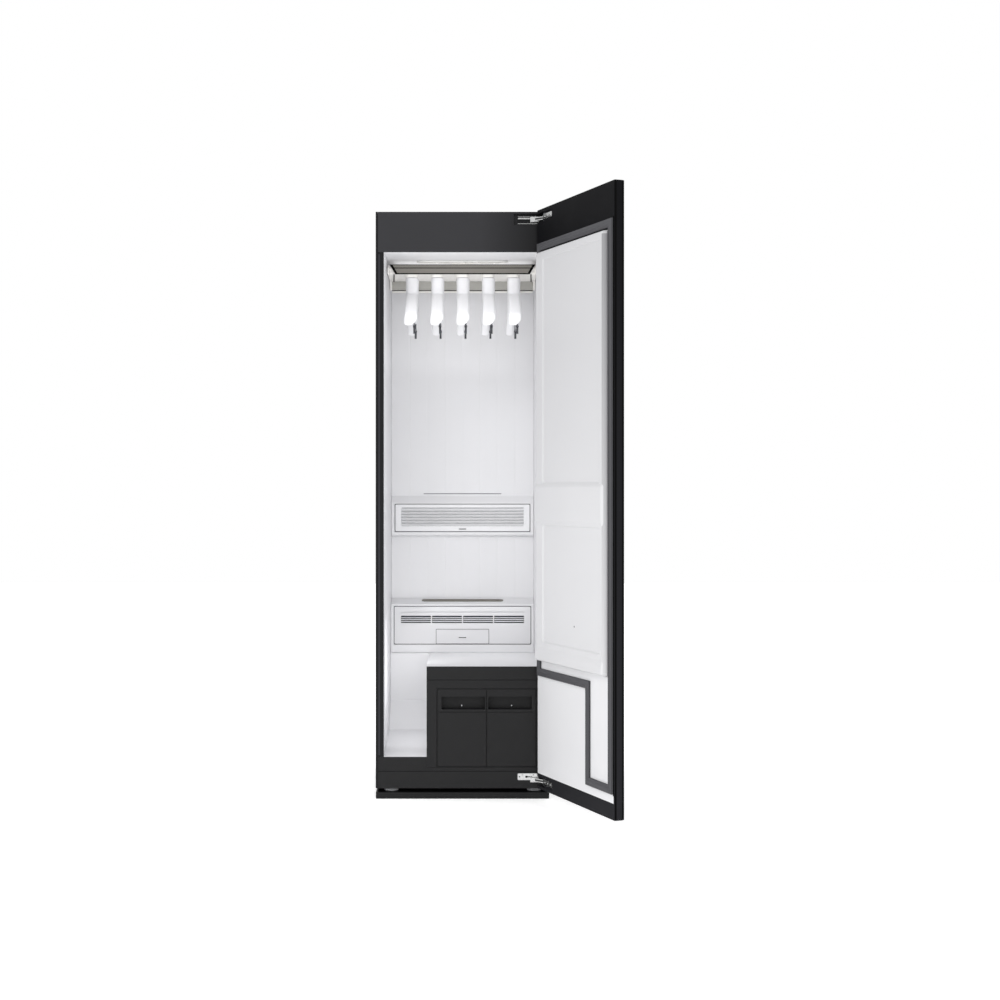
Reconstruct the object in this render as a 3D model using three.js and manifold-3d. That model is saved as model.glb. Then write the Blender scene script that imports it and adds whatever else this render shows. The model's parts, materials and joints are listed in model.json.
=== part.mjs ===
// Clothes care steam cabinet: a tall black cabinet with a white garment chamber, five air hangers on a
// nozzle rail, a leg well for long clothes, two pull-out water tanks and one side-hinged door, shown open.
// Millimetres. X runs to the right seen from the front, Y to the back, Z up from the floor.

import * as THREE from 'three';
import { mergeVertices } from 'three/addons/utils/BufferGeometryUtils.js';
import Module from 'manifold-3d';

const wasm = await Module();
wasm.setup();

// Cabinet body without its door
const cabinetWidth = 580;
const cabinetDepth = 590;
const cabinetHeight = 1960;
const bodyBottom = 35;
const halfWidth = cabinetWidth / 2;
const frontY = -cabinetDepth / 2;
const backY = cabinetDepth / 2;

// Clearances and cutting allowance
const fitGap = 0.3;
const tankGap = 0.9;
const overrun = 5;

// Sides of round shapes, by how closely they are seen
const fewSides = 8;
const someSides = 14;
const manySides = 20;
const cornerSteps = 3;
const wideCornerSteps = 8;

// Plinth tray and levelling feet
const plinthHeight = 21;
const plinthFloor = 6;
const plinthCorner = 6;
const plinthPocketCorner = 18;
const plinthPocketMargin = 8;
const footInset = 50;
const footRadius = 24.5;
const footPadHeight = 6;
const footDomeRise = 4;
const footDomeShare = 0.8;
const footStemRadius = 6;
const footStemTop = 62;
const footNutRadius = 10;

// Chassis pan under the body
const panSheet = 3;
const skirtInset = 6;

// Outer sheet metal
const sheet = 1.2;
const sideReturn = 7;
const rearReturn = 18;
const topFlange = 16;
const rearHatchMargin = 60;
const rearHatchWidth = (halfWidth - rearHatchMargin) * 2;
const rearHatchBottom = 75;
const rearHatchTop = 415;
const rearCoverLap = 14;
const rearCoverSheet = 2;
const rearLouvreRows = 10;
const rearLouvreWidth = 170;
const rearLouvreHeight = 6;
const rearLouvrePitch = 21;
const rearLouvreColumn = 105;
const glandRadius = 13;
const glandBore = 4.5;
const glandLength = 13;
const glandOffset = 32;

// Front frame: header, stiles and sill
const skin = 3;
const headerHeight = 135;
const headerBottom = cabinetHeight - headerHeight;
const headerDepth = 25;
const stileWidth = 20.2;
const stileReturn = 30;
const openingHalf = halfWidth - sideReturn - stileWidth;
const legOpeningWidth = 142.8;
const legOpeningRight = legOpeningWidth - openingHalf;
const legOpeningBottom = 139.5;
const floorTop = 442;
const sillDepth = 20;
const bayBottom = 105.5;
const sillGrooveHeight = 91;
const grooveSize = 1.4;
const hingeRecessInset = 118;
const hingeRecessLeft = halfWidth - hingeRecessInset;
const hingeRecessHeight = 36;
const hingeRecessDepth = 12;

// Tank bay
const bayTop = floorTop - fitGap;
const bayPostWidth = 34;
const bayLeft = legOpeningRight + bayPostWidth;
const bayDoorMargin = 15.9;
const bayRight = openingHalf - bayDoorMargin;
const tankOpeningTop = 368;
const fasciaGrooveHeight = 396;
const bayShellWall = 3;
const machineDepth = 329;
const bayShellBack = backY - machineDepth;
const runnerHeight = 4;
const runnerWidth = 8;
const runnerInset = 22;
const dockRadius = 14;

// Garment chamber
const linerWall = 12;
const chamberBackInset = 90;
const chamberBack = backY - chamberBackInset;
const wallDraft = 3.8;
const floorThick = 10;
const backGrooveCount = 7;
const backGroovePitch = 64;
const backGrooveWidth = 5;
const backGrooveDepth = 2;
const slitHalf = 142;
const slitHeight = 1016;
const slitSize = 3;
const slitDepth = 4;

// Leg well for long garments
const wellShelfDepth = 70;
const wellRampDepth = 100;
const wellRampRear = chamberBack - wellShelfDepth;
const wellFloorRear = wellRampRear - wellRampDepth;
const wellFloorRearHeight = 182;
const wellRampTop = 275;
const wellSkin = 8;

// Upper air duct housing and its louvred panel
const upperDuctDepth = 20;
const upperDuctFront = chamberBack - upperDuctDepth;
const upperDuctBottom = 868;
const upperDuctTop = 985;
const upperDuctRise = 24;
const ductFoot = 8;
const upperPanelInset = 16.3;
const upperPanelWidth = (openingHalf - upperPanelInset) * 2;
const upperPanelHeight = 102;
const upperPanelBottom = 878.5;
const panelThick = 11;
const upperSlatInset = 39.8;
const upperSlatWidth = (openingHalf - upperSlatInset) * 2;
const upperSlatBottom = 900;
const upperSlatTop = 971;
const upperSlatCount = 7;
const slatThick = 2.2;
const slatTiltShare = 0.35;
const panelCorner = 5;
const tabWidth = 17;
const tabHeight = 4;
const tabDepth = 1.6;
const upperTabHeight = 889;

// Lower air duct housing, its panel and the fragrance cartridge
const lowerDuctDepth = 50;
const lowerDuctFront = chamberBack - lowerDuctDepth;
const lowerDuctTop = 618;
const lowerDuctRise = 20;
const lowerPanelInset = 14.3;
const lowerPanelWidth = (openingHalf - lowerPanelInset) * 2;
const lowerPanelHeight = 139;
const lowerPanelBottom = 472;
const lowerWindowCount = 4;
const lowerWindowInset = 39.8;
const lowerWindowSpan = (openingHalf - lowerWindowInset) * 2;
const lowerWindowMullion = 4;
const lowerWindowBottom = 549;
const lowerWindowHeight = 27;
const lowerSlatCount = 4;
const lowerSlitBottom = 588;
const lowerSlitHeight = 3;
const cartridgeWidth = 192;
const cartridgeHeight = 54;
const cartridgeDepth = 42;
const cartridgeTrayInset = 8;
const cartridgeWall = 2;
const cartridgeTabHeight = 497;
const intakeLength = 296;
const intakeWidth = 24;
const intakeThick = 4;
const intakeSlotWidth = 4;
const intakeSlotMargin = 14;

// Line of the hangers, which sets the rail, the lamp and the air collar
const hangerFrontRoom = 36;
const hangerRearRoom = 100;
const armReach = (chamberBack - frontY - hangerFrontRoom - hangerRearRoom) / 2;
const hangerY = frontY + hangerFrontRoom + armReach;

// Ceiling lamp
const lampLength = 315;
const lampWidth = 50;
const lampThick = 6;
const lampOffset = 8;
const lampY = hangerY - lampOffset;

// Hanger rail unit: a front beam, an end-and-rear frame and a nozzle plenum between them
const railFrontOffset = 38;
const railFront = hangerY - railFrontOffset;
const railDrop = 20;
const railHeight = 28;
const railTop = headerBottom - railDrop;
const railBottom = railTop - railHeight;
const railTopInset = 16.8;
const railTopHalf = openingHalf - railTopInset;
const railMitre = 15;
const railBeamThick = 5;
const railBeamLean = 7;
const railRearRoom = 116;
const railRear = chamberBack - railRearRoom;
const railRearLip = 32;
const railRearBottom = railBottom - railRearLip;
const railRearThick = 4;
const railEndThick = 7;
const railInset = 10.8;
const railHalf = openingHalf - railInset;
const railEndChamfer = 14;
const plenumWall = 2.5;
const plenumInset = 4;
const plenumTop = railTop - plenumInset;
const collarHalf = 34;
const collarOffset = 33;
const collarDepth = 38;
const collarFront = hangerY + collarOffset;
const collarBack = collarFront + collarDepth;

// Air hangers
const hangerCount = 5;
const hangerPitch = 88;
const hangerTurnShare = -0.02;
const neckHalfWidth = 22.5;
const neckHalfDepth = 31;
const neckSpigotHalfWidth = 17;
const neckSpigotHalfDepth = 20;
const neckSpigotHeight = 14;
const neckBoreHalfWidth = 13;
const neckBoreHalfDepth = 16;
const neckBoreDepth = 60;
const socketGap = 1.2;
const neckLength = 85;
const armCrown = railBottom - neckLength;
const armDrop = 86;
const armHalfWidth = 20.5;
const armHalfHeight = 27;
const armTipHalfHeight = 21;
const armCurveShare = 1.35;
const armTipShare = 0.72;
const armEndPower = 14;
const armSkew = 6.5;
const neckWaistShare = 0.94;
const neckFootShare = 1.25;
const armSections = 11;
const ringPoints = 14;
const ringSquareness = 2.6;
const slotShares = [0.42, 0.72];
const slotLength = 30;
const slotHalfHeight = 2;
const slotDepth = 4;

// Trouser bar with its two spring clips under each hanger
const wireRadius = 2;
const barInset = 54;
const barDrop = 102;
const barHalf = armReach - barInset;
const barHeight = armCrown - barDrop;
const barOffset = 9;
const clipInset = 36;
const clipY = barHalf - clipInset;
const clipWidth = 17;
const clipHeight = 36;
const clipThick = 2.4;
const clipGap = 3;
const clipBridge = 4;

// Water tanks
const tankFrontInset = 1;
const tankDockRoom = 16;
const tankBack = bayShellBack - tankDockRoom;
const tankWall = 2.5;
const tankFloor = 114;
const tankRimDrop = 21.1;
const tankFrontTop = tankOpeningTop - tankGap;
const tankRim = tankFrontTop - tankRimDrop;
const gripInset = 26.1;
const gripHeight = 43;
const gripTop = tankFrontTop - gripInset;
const gripBottom = gripTop - gripHeight;
const tankStepDrop = 12;
const tankStep = gripBottom - tankStepDrop;
const gripDepth = 26;
const gripWall = 3;
const gripMargin = 15;
const coverSkin = 3;
const lidThick = 3.4;
const tankCorner = 3;
const tankSideInset = 2;

// Blower in the top compartment
const blowerRise = 72;
const blowerZ = headerBottom + blowerRise;
const blowerWidth = 74;
const scrollStart = 46;
const scrollEnd = 58;
const scrollWall = 2.5;
const scrollSteps = 20;
const inletRadius = 31;
const wheelRadius = 41;
const wheelInner = 32;
const wheelHalf = 30;
const wheelRing = 3;
const wheelHub = 9;
const wheelDisc = 2.5;
const bladeCount = 16;
const bladeThick = 1.4;
const bladeLean = 5;
const shaftRadius = 4;
const motorRadius = 27;
const motorLength = 46;
const motorStand = 3;
const blowerFoot = 8;
const blowerFootThick = 3;

// Control board in the top compartment
const boardWidth = 190;
const boardDepth = 120;
const boardInset = 125;
const boardX = boardInset - halfWidth;
const boardY = 60;
const boardThick = 1.6;
const boardStandoff = 10;
const boardPostRadius = 4;
const boardPostInset = 12;
const boardPartHeight = 24;
const boardPartShares = [
  [-0.6, 0.3, 0.35, 0.5, 1], [-0.1, 0.4, 0.3, 0.3, 0.5], [0.45, 0.35, 0.4, 0.55, 0.8],
  [-0.5, -0.5, 0.5, 0.25, 0.4], [0.2, -0.45, 0.3, 0.4, 0.25], [0.7, -0.5, 0.2, 0.3, 0.6],
];

// Heat pump and steam generator in the machine space
const compressorSideRoom = 112;
const compressorRearRoom = 120;
const compressorX = halfWidth - compressorSideRoom;
const compressorY = backY - compressorRearRoom;
const compressorRadius = 56;
const compressorHeight = 205;
const compressorDome = 24;
const compressorFootSpan = 78;
const compressorFootRadius = 11;
const compressorFootHeight = 16;
const footPlateShare = 1.2;
const domeShares = [0, 0.25, 0.5, 0.75];
const footTurnShares = [1 / 4, 7 / 12, 11 / 12];
const accumulatorRadius = 24;
const accumulatorHeight = 130;
const coilSideRoom = 20;
const coilToCompressor = 88;
const coilRearRoom = 177;
const coilDepth = 58;
const coilLeft = legOpeningRight + coilSideRoom;
const coilRight = compressorX - coilToCompressor;
const coilBack = backY - coilRearRoom;
const coilFront = coilBack - coilDepth;
const coilBottom = 50;
const coilTop = 300;
const coilFins = 16;
const coilFinShare = 0.45;
const coilCore = 5;
const coilTubeRadius = 4;
const coilTubeRows = 4;
const coilStub = 9;
const coilFoot = 12;
const boilerToCompressor = 188;
const boilerRearRoom = 80;
const boilerX = compressorX - boilerToCompressor;
const boilerY = backY - boilerRearRoom;
const boilerWidth = 150;
const boilerDepth = 90;
const boilerHeight = 105;
const boilerCorner = 20;
const boilerRim = 5;
const boilerPipeRadius = 9;
const boilerPipeHeight = 60;
const boilerFootHeight = 10;

// Door: shown swung open by doorAngle about a vertical hinge line near the right front edge
const doorAngle = 111;
const doorGap = 8;
const doorThick = 32;
const doorBottom = 41;
const doorGlass = 4;
const doorCorner = 3;
const doorEdgeChamfer = 5;
const hingeLineInset = 18;
const hingeLineOut = 28;
const gasketHeight = 6.7;
const gasketWidth = 21;
const gasketLap = 22;
const gasketTop = headerBottom + gasketLap;
const gasketFreeInset = 9;
const gasketHingeInset = 14;
const gasketFootLap = 21.5;
const gasketFloorLap = 26;
const gasketBottom = legOpeningBottom - gasketFootLap;
const gasketBranchX = legOpeningRight + gasketLap;
const gasketBranchBottom = floorTop - gasketFloorLap;
const gasketLip = 2.2;
const linerProud = 22;
const linerFree = 34;
const linerHinge = 38;
const linerFloorRoom = 26;
const linerHeaderRoom = 10;
const linerBottom = floorTop + linerFloorRoom;
const linerTop = headerBottom - linerHeaderRoom;
const linerDraft = 7;
const linerField = 5;
const linerFieldHinge = 50;
const linerFieldFree = 16;
const linerBandBottom = 930;
const linerBandTop = 1048;
const linerBandSlope = 12;
const linerLedge = 9;
const linerLedgeHeight = 44;
const linerLedgeTop = linerBottom + linerLedgeHeight;
const linerLedgeSlope = 22;
const linerFieldInset = 27;
const linerFieldTop = linerTop - linerFieldInset;
const linerSpotRadius = 3;
const linerSpotX = -55;
const linerSpotHeight = 603;
const lowerDoorPanelBottom = 91;
const lowerDoorPanelGap = 2;
const lowerDoorPanelTop = linerBottom - lowerDoorPanelGap;
const lowerDoorPanelThick = 2.7;
const lowerDoorPanelInset = 8;

// Concealed hinges
const lowerHingeHeight = 64;
const upperHingeDrop = 26;
const hingeHeights = [lowerHingeHeight, cabinetHeight - upperHingeDrop];
const hingeNotchLength = 58;
const hingeNotchHeight = 30;
const hingeArmThick = 8;
const hingeArmWidth = 10;
const hingeKnuckle = 7;
const hingePinRadius = 3;
const hingePinHead = 4.4;
const hingePinHeadHeight = 2;
const hingeEarThick = 3;
const hingeEarDrop = 8;
const hingeLeafLength = 122;
const hingeLeafHeight = 24;
const hingeLeafThick = 2.7;
const hingeLeafTongue = 4;
const hingePlateInset = 37;
const hingePlateLength = 69;
const hingePlateRight = halfWidth - hingePlateInset;
const hingePlateLeft = hingePlateRight - hingePlateLength;
const hingePlateHeight = 26;
const hingePlateThick = 2.6;
const hingePlateRise = 10;
const hingeScrewRadius = 2.4;
const hingeScrewRise = 6.5;
const hingeArmBase = 38;
const hingeArmClearance = 0.7;
const screwShares = [0.15, 0.5, 0.85];
const damperRadius = 2.6;

// Shape helpers: every geometry passes through a closed manifold solid

function outwardVolume(positions, triangles) {
  let volume = 0;
  const corner = (index) => new THREE.Vector3().fromArray(positions, triangles[index] * 3);
  for (let i = 0; i < triangles.length; i += 3) {
    volume += corner(i).dot(corner(i + 1).cross(corner(i + 2)));
  }
  return volume;
}

function toSolid(geometry) {
  const bare = geometry.clone();
  bare.deleteAttribute('normal');
  bare.deleteAttribute('uv');
  const welded = mergeVertices(bare);
  const positions = welded.attributes.position.array;
  const triangles = [];
  for (let i = 0; i < welded.index.count; i += 3) {
    const [a, b, c] = [0, 1, 2].map((step) => welded.index.getX(i + step));
    if (a !== b && b !== c && c !== a) triangles.push(a, b, c);
  }
  if (outwardVolume(positions, triangles) < 0) triangles.reverse();
  return new wasm.Manifold(new wasm.Mesh({
    numProp: 3,
    vertProperties: new Float32Array(positions),
    triVerts: new Uint32Array(triangles),
  }));
}

function toGeometry(solid) {
  const mesh = solid.getMesh();
  const geometry = new THREE.BufferGeometry();
  geometry.setAttribute('position', new THREE.BufferAttribute(new Float32Array(mesh.vertProperties), 3));
  geometry.setIndex(new THREE.BufferAttribute(new Uint32Array(mesh.triVerts), 1));
  geometry.computeVertexNormals();
  return geometry;
}

const join = (...pieces) => toGeometry(pieces.map(toSolid).reduce((sum, piece) => sum.add(piece)));
const cut = (base, ...tools) => toGeometry(tools.map(toSolid).reduce((rest, tool) => rest.subtract(tool),
  toSolid(base)));

function block([x0, x1], [y0, y1], [z0, z1]) {
  const box = new THREE.BoxGeometry(x1 - x0, y1 - y0, z1 - z0);
  return box.translate((x0 + x1) / 2, (y0 + y1) / 2, (z0 + z1) / 2);
}

function outline(points) {
  return new THREE.Shape(points.map(([across, up]) => new THREE.Vector2(across, up)));
}

function roundedOutline([x0, x1], [y0, y1], radius) {
  const shape = new THREE.Shape();
  shape.absarc(x1 - radius, y1 - radius, radius, 0, Math.PI / 2, false);
  shape.absarc(x0 + radius, y1 - radius, radius, Math.PI / 2, Math.PI, false);
  shape.absarc(x0 + radius, y0 + radius, radius, Math.PI, Math.PI * 1.5, false);
  shape.absarc(x1 - radius, y0 + radius, radius, Math.PI * 1.5, Math.PI * 2, false);
  return shape;
}

// Prisms of an outline: along Z from (x, y), along X from (y, z), along Y from (x, z)
function extrude(shape, length, curveSegments = cornerSteps) {
  return new THREE.ExtrudeGeometry(shape, { depth: length, bevelEnabled: false, curveSegments });
}

function alongZ(shape, [z0, z1], curveSegments) {
  return extrude(shape, z1 - z0, curveSegments).translate(0, 0, z0);
}

function alongX(shape, [x0, x1], curveSegments) {
  const turn = new THREE.Matrix4().makeBasis(
    new THREE.Vector3(0, 1, 0), new THREE.Vector3(0, 0, 1), new THREE.Vector3(1, 0, 0));
  return extrude(shape, x1 - x0, curveSegments).applyMatrix4(turn).translate(x0, 0, 0);
}

function alongY(shape, [y0, y1], curveSegments) {
  return extrude(shape, y1 - y0, curveSegments).rotateX(Math.PI / 2).translate(0, y1, 0);
}

// A turned piece about Z from a profile of [radius, height] pairs that starts and ends on the axis
function turned(profile, segments = someSides) {
  const points = profile.map(([radius, height]) => new THREE.Vector2(radius, height));
  return new THREE.LatheGeometry(points, segments).rotateX(Math.PI / 2);
}

function rod(radius, [z0, z1], segments = someSides) {
  return new THREE.CylinderGeometry(radius, radius, z1 - z0, segments).rotateX(Math.PI / 2)
    .translate(0, 0, (z0 + z1) / 2);
}

const rodAlongY = (radius, [y0, y1], segments) => rod(radius, [-y1, -y0], segments).rotateX(Math.PI / 2);
const rodAlongX = (radius, [x0, x1], segments) => rod(radius, [x0, x1], segments).rotateY(Math.PI / 2);

// A closed skin over rings of equally many points
function loft(rings) {
  const count = rings[0].length;
  const positions = rings.flat().flatMap((point) => point.toArray());
  const triangles = [];
  for (let ring = 0; ring + 1 < rings.length; ring += 1) {
    for (let i = 0; i < count; i += 1) {
      const [a, b] = [ring * count + i, ring * count + (i + 1) % count];
      triangles.push(a, b, b + count, a, b + count, a + count);
    }
  }
  const last = (rings.length - 1) * count;
  for (let i = 1; i + 1 < count; i += 1) {
    triangles.push(0, i + 1, i, last, last + i, last + i + 1);
  }
  const geometry = new THREE.BufferGeometry();
  geometry.setAttribute('position', new THREE.Float32BufferAttribute(positions, 3));
  geometry.setIndex(triangles);
  return geometry;
}

// A superellipse ring: squarer than an ellipse, as a moulded section is
function squarishRing(place, halfAcross, halfUp, count) {
  return Array.from({ length: count }, (unused, i) => {
    const angle = (i / count) * Math.PI * 2;
    const bend = (value) => Math.sign(value) * Math.abs(value) ** (2 / ringSquareness);
    return place(halfAcross * bend(Math.cos(angle)), halfUp * bend(Math.sin(angle)));
  });
}

// Finishes
const finish = (color, roughness, metalness = 0) => new THREE.MeshStandardMaterial({
  color, roughness, metalness });
const blackCoat = finish(0x3d3d40, 0.5);
const blackMoulding = finish(0x2e2e30, 0.6);
const blackGlass = finish(0x232325, 0.15);
const whiteLiner = finish(0xe4e4e5, 0.45);
const whiteMoulding = finish(0xf2f2f2, 0.4);
const taupeMoulding = finish(0x96938a, 0.5);
const creamMoulding = finish(0xe3dfd6, 0.5);
const lampLens = finish(0xffffff, 0.3);
const gasketRubber = finish(0x66666a, 0.85);
const brightSteel = finish(0xc4c6c8, 0.3, 1);
const zincSteel = finish(0xa8abad, 0.45, 1);
const greyMoulding = finish(0x9a9c9e, 0.6);
const boardGreen = finish(0x2c5a3c, 0.6);
const finAluminium = finish(0xc9cbcc, 0.4, 1);
const smokedTank = finish(0x4a4d52, 0.3);

const cabinet = new THREE.Group();
const door = new THREE.Group();

function add(group, name, geometry, material) {
  const mesh = new THREE.Mesh(geometry, material);
  mesh.name = name;
  group.add(mesh);
}

const bothSides = (make) => [-1, 1].map(make);
const ordered = (a, b) => [Math.min(a, b), Math.max(a, b)];
const spread = (count, pitch) => Array.from({ length: count }, (unused, i) => (i - (count - 1) / 2) * pitch);

// Plinth tray, feet and chassis pan

function plinthTray() {
  const ledge = footInset + footRadius + plinthPocketMargin;
  const edge = roundedOutline([-halfWidth, halfWidth], [frontY, backY], plinthCorner);
  const rim = roundedOutline([-halfWidth + ledge, halfWidth - ledge], [frontY + ledge, backY - ledge],
    plinthPocketCorner);
  const board = alongZ(edge, [0, plinthHeight]);
  const pocket = alongZ(rim, [plinthFloor, plinthHeight + overrun]);
  return cut(board, pocket);
}

// A folded pan with a recessed skirt and four screwed-in levelling feet that stand on the plinth
function chassisWithFeet() {
  const panX = halfWidth - sheet - fitGap;
  const panFront = frontY + sillDepth + fitGap;
  const panBack = backY - sheet * 2 - fitGap * 2;
  const plate = block([-panX, panX], [panFront, panBack], [bodyBottom, bodyBottom + panSheet]);
  const skirtZ = [plinthHeight + fitGap, bodyBottom + fitGap];
  const skirtX = halfWidth - skirtInset;
  const skirtFront = frontY + footInset + footRadius + skirtInset;
  const skirtSide = (side) => block(ordered(side * skirtX, side * (skirtX - panSheet)), [panFront, panBack],
    skirtZ);
  const skirt = [
    ...bothSides(skirtSide),
    block([-skirtX, skirtX], [skirtFront, skirtFront + panSheet], skirtZ),
    block([-skirtX, skirtX], [panBack - panSheet, panBack], skirtZ),
  ];
  const padTop = plinthHeight + fitGap + footPadHeight;
  const foot = turned([[0, plinthHeight + fitGap], [footRadius, plinthHeight + fitGap], [footRadius, padTop],
    [footRadius * footDomeShare, padTop + footDomeRise], [footNutRadius, padTop + footDomeRise],
    [footNutRadius, bodyBottom + fitGap], [footStemRadius, bodyBottom + fitGap], [footStemRadius, footStemTop],
    [0, footStemTop]]);
  const places = bothSides((side) => bothSides((end) => [side * (halfWidth - footInset),
    end * (backY - footInset)])).flat();
  return join(plate, ...skirt, ...places.map(([x, y]) => foot.clone().translate(x, y, 0)));
}

// Outer sheet metal

function sidePanel(side) {
  const rear = backY - sheet - fitGap;
  const folded = [[halfWidth, frontY], [halfWidth - sideReturn, frontY],
    [halfWidth - sideReturn, frontY + sheet], [halfWidth - sheet, frontY + sheet],
    [halfWidth - sheet, rear - sheet],
    [halfWidth - rearReturn, rear - sheet], [halfWidth - rearReturn, rear], [halfWidth, rear]];
  return alongZ(outline(folded.map(([x, y]) => [side * x, y])), [bodyBottom, cabinetHeight]);
}

function topPanel() {
  const edgeX = halfWidth - sheet - fitGap;
  const front = frontY + headerDepth + fitGap;
  const rear = backY - sheet * 2 - fitGap * 2;
  const lid = block([-edgeX, edgeX], [front, rear], [cabinetHeight - topFlange, cabinetHeight]);
  const under = block([-edgeX + sheet, edgeX - sheet], [front + sheet, rear - sheet],
    [cabinetHeight - topFlange - overrun, cabinetHeight - sheet]);
  return cut(lid, under);
}

function rearPanel() {
  const plate = block([-halfWidth, halfWidth], [backY - sheet, backY], [bodyBottom, cabinetHeight]);
  const hatch = block([-rearHatchWidth / 2, rearHatchWidth / 2], [backY - sheet - overrun, backY + overrun],
    [rearHatchBottom, rearHatchTop]);
  return cut(plate, hatch);
}

function rearServiceCover() {
  const half = rearHatchWidth / 2 + rearCoverLap;
  const face = [backY + fitGap, backY + fitGap + rearCoverSheet];
  const middle = (rearHatchBottom + rearHatchTop) / 2;
  const height = [rearHatchBottom - rearCoverLap, rearHatchTop + rearCoverLap];
  const plate = alongY(roundedOutline([-half, half], height, panelCorner), face);
  const slots = spread(rearLouvreRows, rearLouvrePitch).flatMap((rise) => bothSides((side) => {
    const x = side * rearLouvreColumn;
    return block([x - rearLouvreWidth / 2, x + rearLouvreWidth / 2], [face[0] - overrun, face[1] + overrun],
      [middle + rise - rearLouvreHeight / 2, middle + rise + rearLouvreHeight / 2]);
  }));
  const glandX = half - glandOffset;
  const glandZ = rearHatchBottom + glandOffset / 2;
  const gland = rodAlongY(glandRadius, [face[0], face[1] + glandLength]).translate(glandX, 0, glandZ);
  const bore = rodAlongY(glandBore, [face[0] - overrun, face[1] + glandLength + overrun])
    .translate(glandX, 0, glandZ);
  return cut(join(cut(plate, ...slots), gland), bore);
}

// Front frame

const innerSideX = halfWidth - sideReturn - fitGap;

function headerPanel() {
  const recessRight = innerSideX - skin;
  const hingeZ = hingeHeights[1];
  const recessZ = [hingeZ - hingeRecessHeight / 2, hingeZ + hingeRecessHeight / 2];
  const bar = block([-innerSideX, innerSideX], [frontY, frontY + headerDepth], [headerBottom, cabinetHeight]);
  const hollowY = [frontY + skin, frontY + headerDepth + overrun];
  const ceilingTop = headerBottom + linerWall;
  const hollowLeft = block([-innerSideX + skin, hingeRecessLeft - skin], hollowY,
    [ceilingTop, cabinetHeight - skin]);
  const hollowRight = block([hingeRecessLeft - skin * 2, recessRight], hollowY,
    [ceilingTop, recessZ[0] - skin]);
  const ceilingSeat = block([-innerSideX - overrun, innerSideX + overrun], hollowY,
    [headerBottom - overrun, ceilingTop + fitGap]);
  const recess = block([hingeRecessLeft, recessRight], [frontY - overrun, frontY + hingeRecessDepth],
    recessZ);
  return cut(bar, hollowLeft, hollowRight, ceilingSeat, recess);
}

function frontStile(side) {
  const angle = [[openingHalf, frontY], [innerSideX, frontY], [innerSideX, frontY + stileReturn],
    [innerSideX - skin, frontY + stileReturn], [innerSideX - skin, frontY + skin],
    [openingHalf, frontY + skin]];
  const foot = side < 0 ? legOpeningBottom : bayBottom;
  return alongZ(outline(angle.map(([x, y]) => [side * x, y])), [foot + fitGap, headerBottom - fitGap]);
}

function frontSill() {
  const face = [[-innerSideX, bodyBottom], [innerSideX, bodyBottom], [innerSideX, bayBottom],
    [legOpeningRight, bayBottom], [legOpeningRight, legOpeningBottom], [-innerSideX, legOpeningBottom]];
  const bar = alongY(outline(face), [frontY, frontY + sillDepth]);
  const hollow = block([-innerSideX + skin, innerSideX - skin], [frontY + skin, frontY + sillDepth + overrun],
    [bodyBottom + skin, bayBottom - skin]);
  const wellSeat = block([-innerSideX - overrun, legOpeningRight + wellSkin + fitGap],
    [frontY + skin, frontY + sillDepth + overrun],
    [legOpeningBottom - wellSkin - fitGap, legOpeningBottom + overrun]);
  const groove = block([-innerSideX - overrun, innerSideX + overrun], [frontY - overrun, frontY + grooveSize],
    [sillGrooveHeight, sillGrooveHeight + grooveSize]);
  return cut(bar, hollow, wellSeat, groove);
}

// Tank bay: a fascia round the tanks and the open tub that they run in

function tankFascia() {
  const right = openingHalf - fitGap;
  const foot = bayBottom + fitGap;
  const arch = [[legOpeningRight, foot], [bayLeft, foot], [bayLeft, tankOpeningTop], [bayRight, tankOpeningTop],
    [bayRight, foot], [right, foot], [right, bayTop], [legOpeningRight, bayTop]];
  const plate = alongY(outline(arch), [frontY, frontY + skin]);
  const groove = block([legOpeningRight - overrun, right + overrun], [frontY - overrun, frontY + grooveSize],
    [fasciaGrooveHeight, fasciaGrooveHeight + grooveSize]);
  return cut(plate, groove);
}

const tankWidth = (bayRight - bayLeft - tankGap) / 2 - tankGap;
const tankLefts = [bayLeft + tankGap, bayLeft + tankGap * 2 + tankWidth];
const bayFloor = tankFloor - runnerHeight - fitGap;

function tankBayTub() {
  const front = frontY + sillDepth + fitGap;
  const inner = { x: [bayLeft - tankGap, bayRight + tankGap], z: [bayFloor, tankOpeningTop + tankGap] };
  const outer = block([inner.x[0] - bayShellWall, inner.x[1] + bayShellWall],
    [frontY + tankFrontInset + coverSkin + fitGap, bayShellBack],
    [inner.z[0] - bayShellWall, inner.z[1] + bayShellWall]);
  const hollow = block(inner.x, [frontY - overrun, bayShellBack - bayShellWall], inner.z);
  const legs = [inner.x[0], inner.x[1] - runnerWidth].flatMap((x) => [front, bayShellBack - runnerWidth * 2]
    .map((y) => block([x, x + runnerWidth], [y, y + runnerWidth * 2],
      [bodyBottom + panSheet + fitGap, inner.z[0] - bayShellWall / 2])));
  const runners = tankLefts.flatMap((left) => [left + runnerInset, left + tankWidth - runnerInset]
    .map((x) => block([x - runnerWidth / 2, x + runnerWidth / 2], [front, bayShellBack - bayShellWall / 2],
      [inner.z[0] - bayShellWall / 2, inner.z[0] + runnerHeight])));
  const docks = tankLefts.map((left) => rodAlongY(dockRadius,
    [bayShellBack - bayShellWall - overrun, bayShellBack + overrun])
    .translate(left + tankWidth / 2, 0, tankFloor + dockRadius * 2));
  return cut(join(cut(outer, hollow), ...legs, ...runners), ...docks);
}

// Garment chamber

const chamberFront = frontY + skin + fitGap;
const wallInnerBack = openingHalf - wallDraft;
const linerOuter = openingHalf + linerWall;
const linerBack = chamberBack + linerWall;

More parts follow.
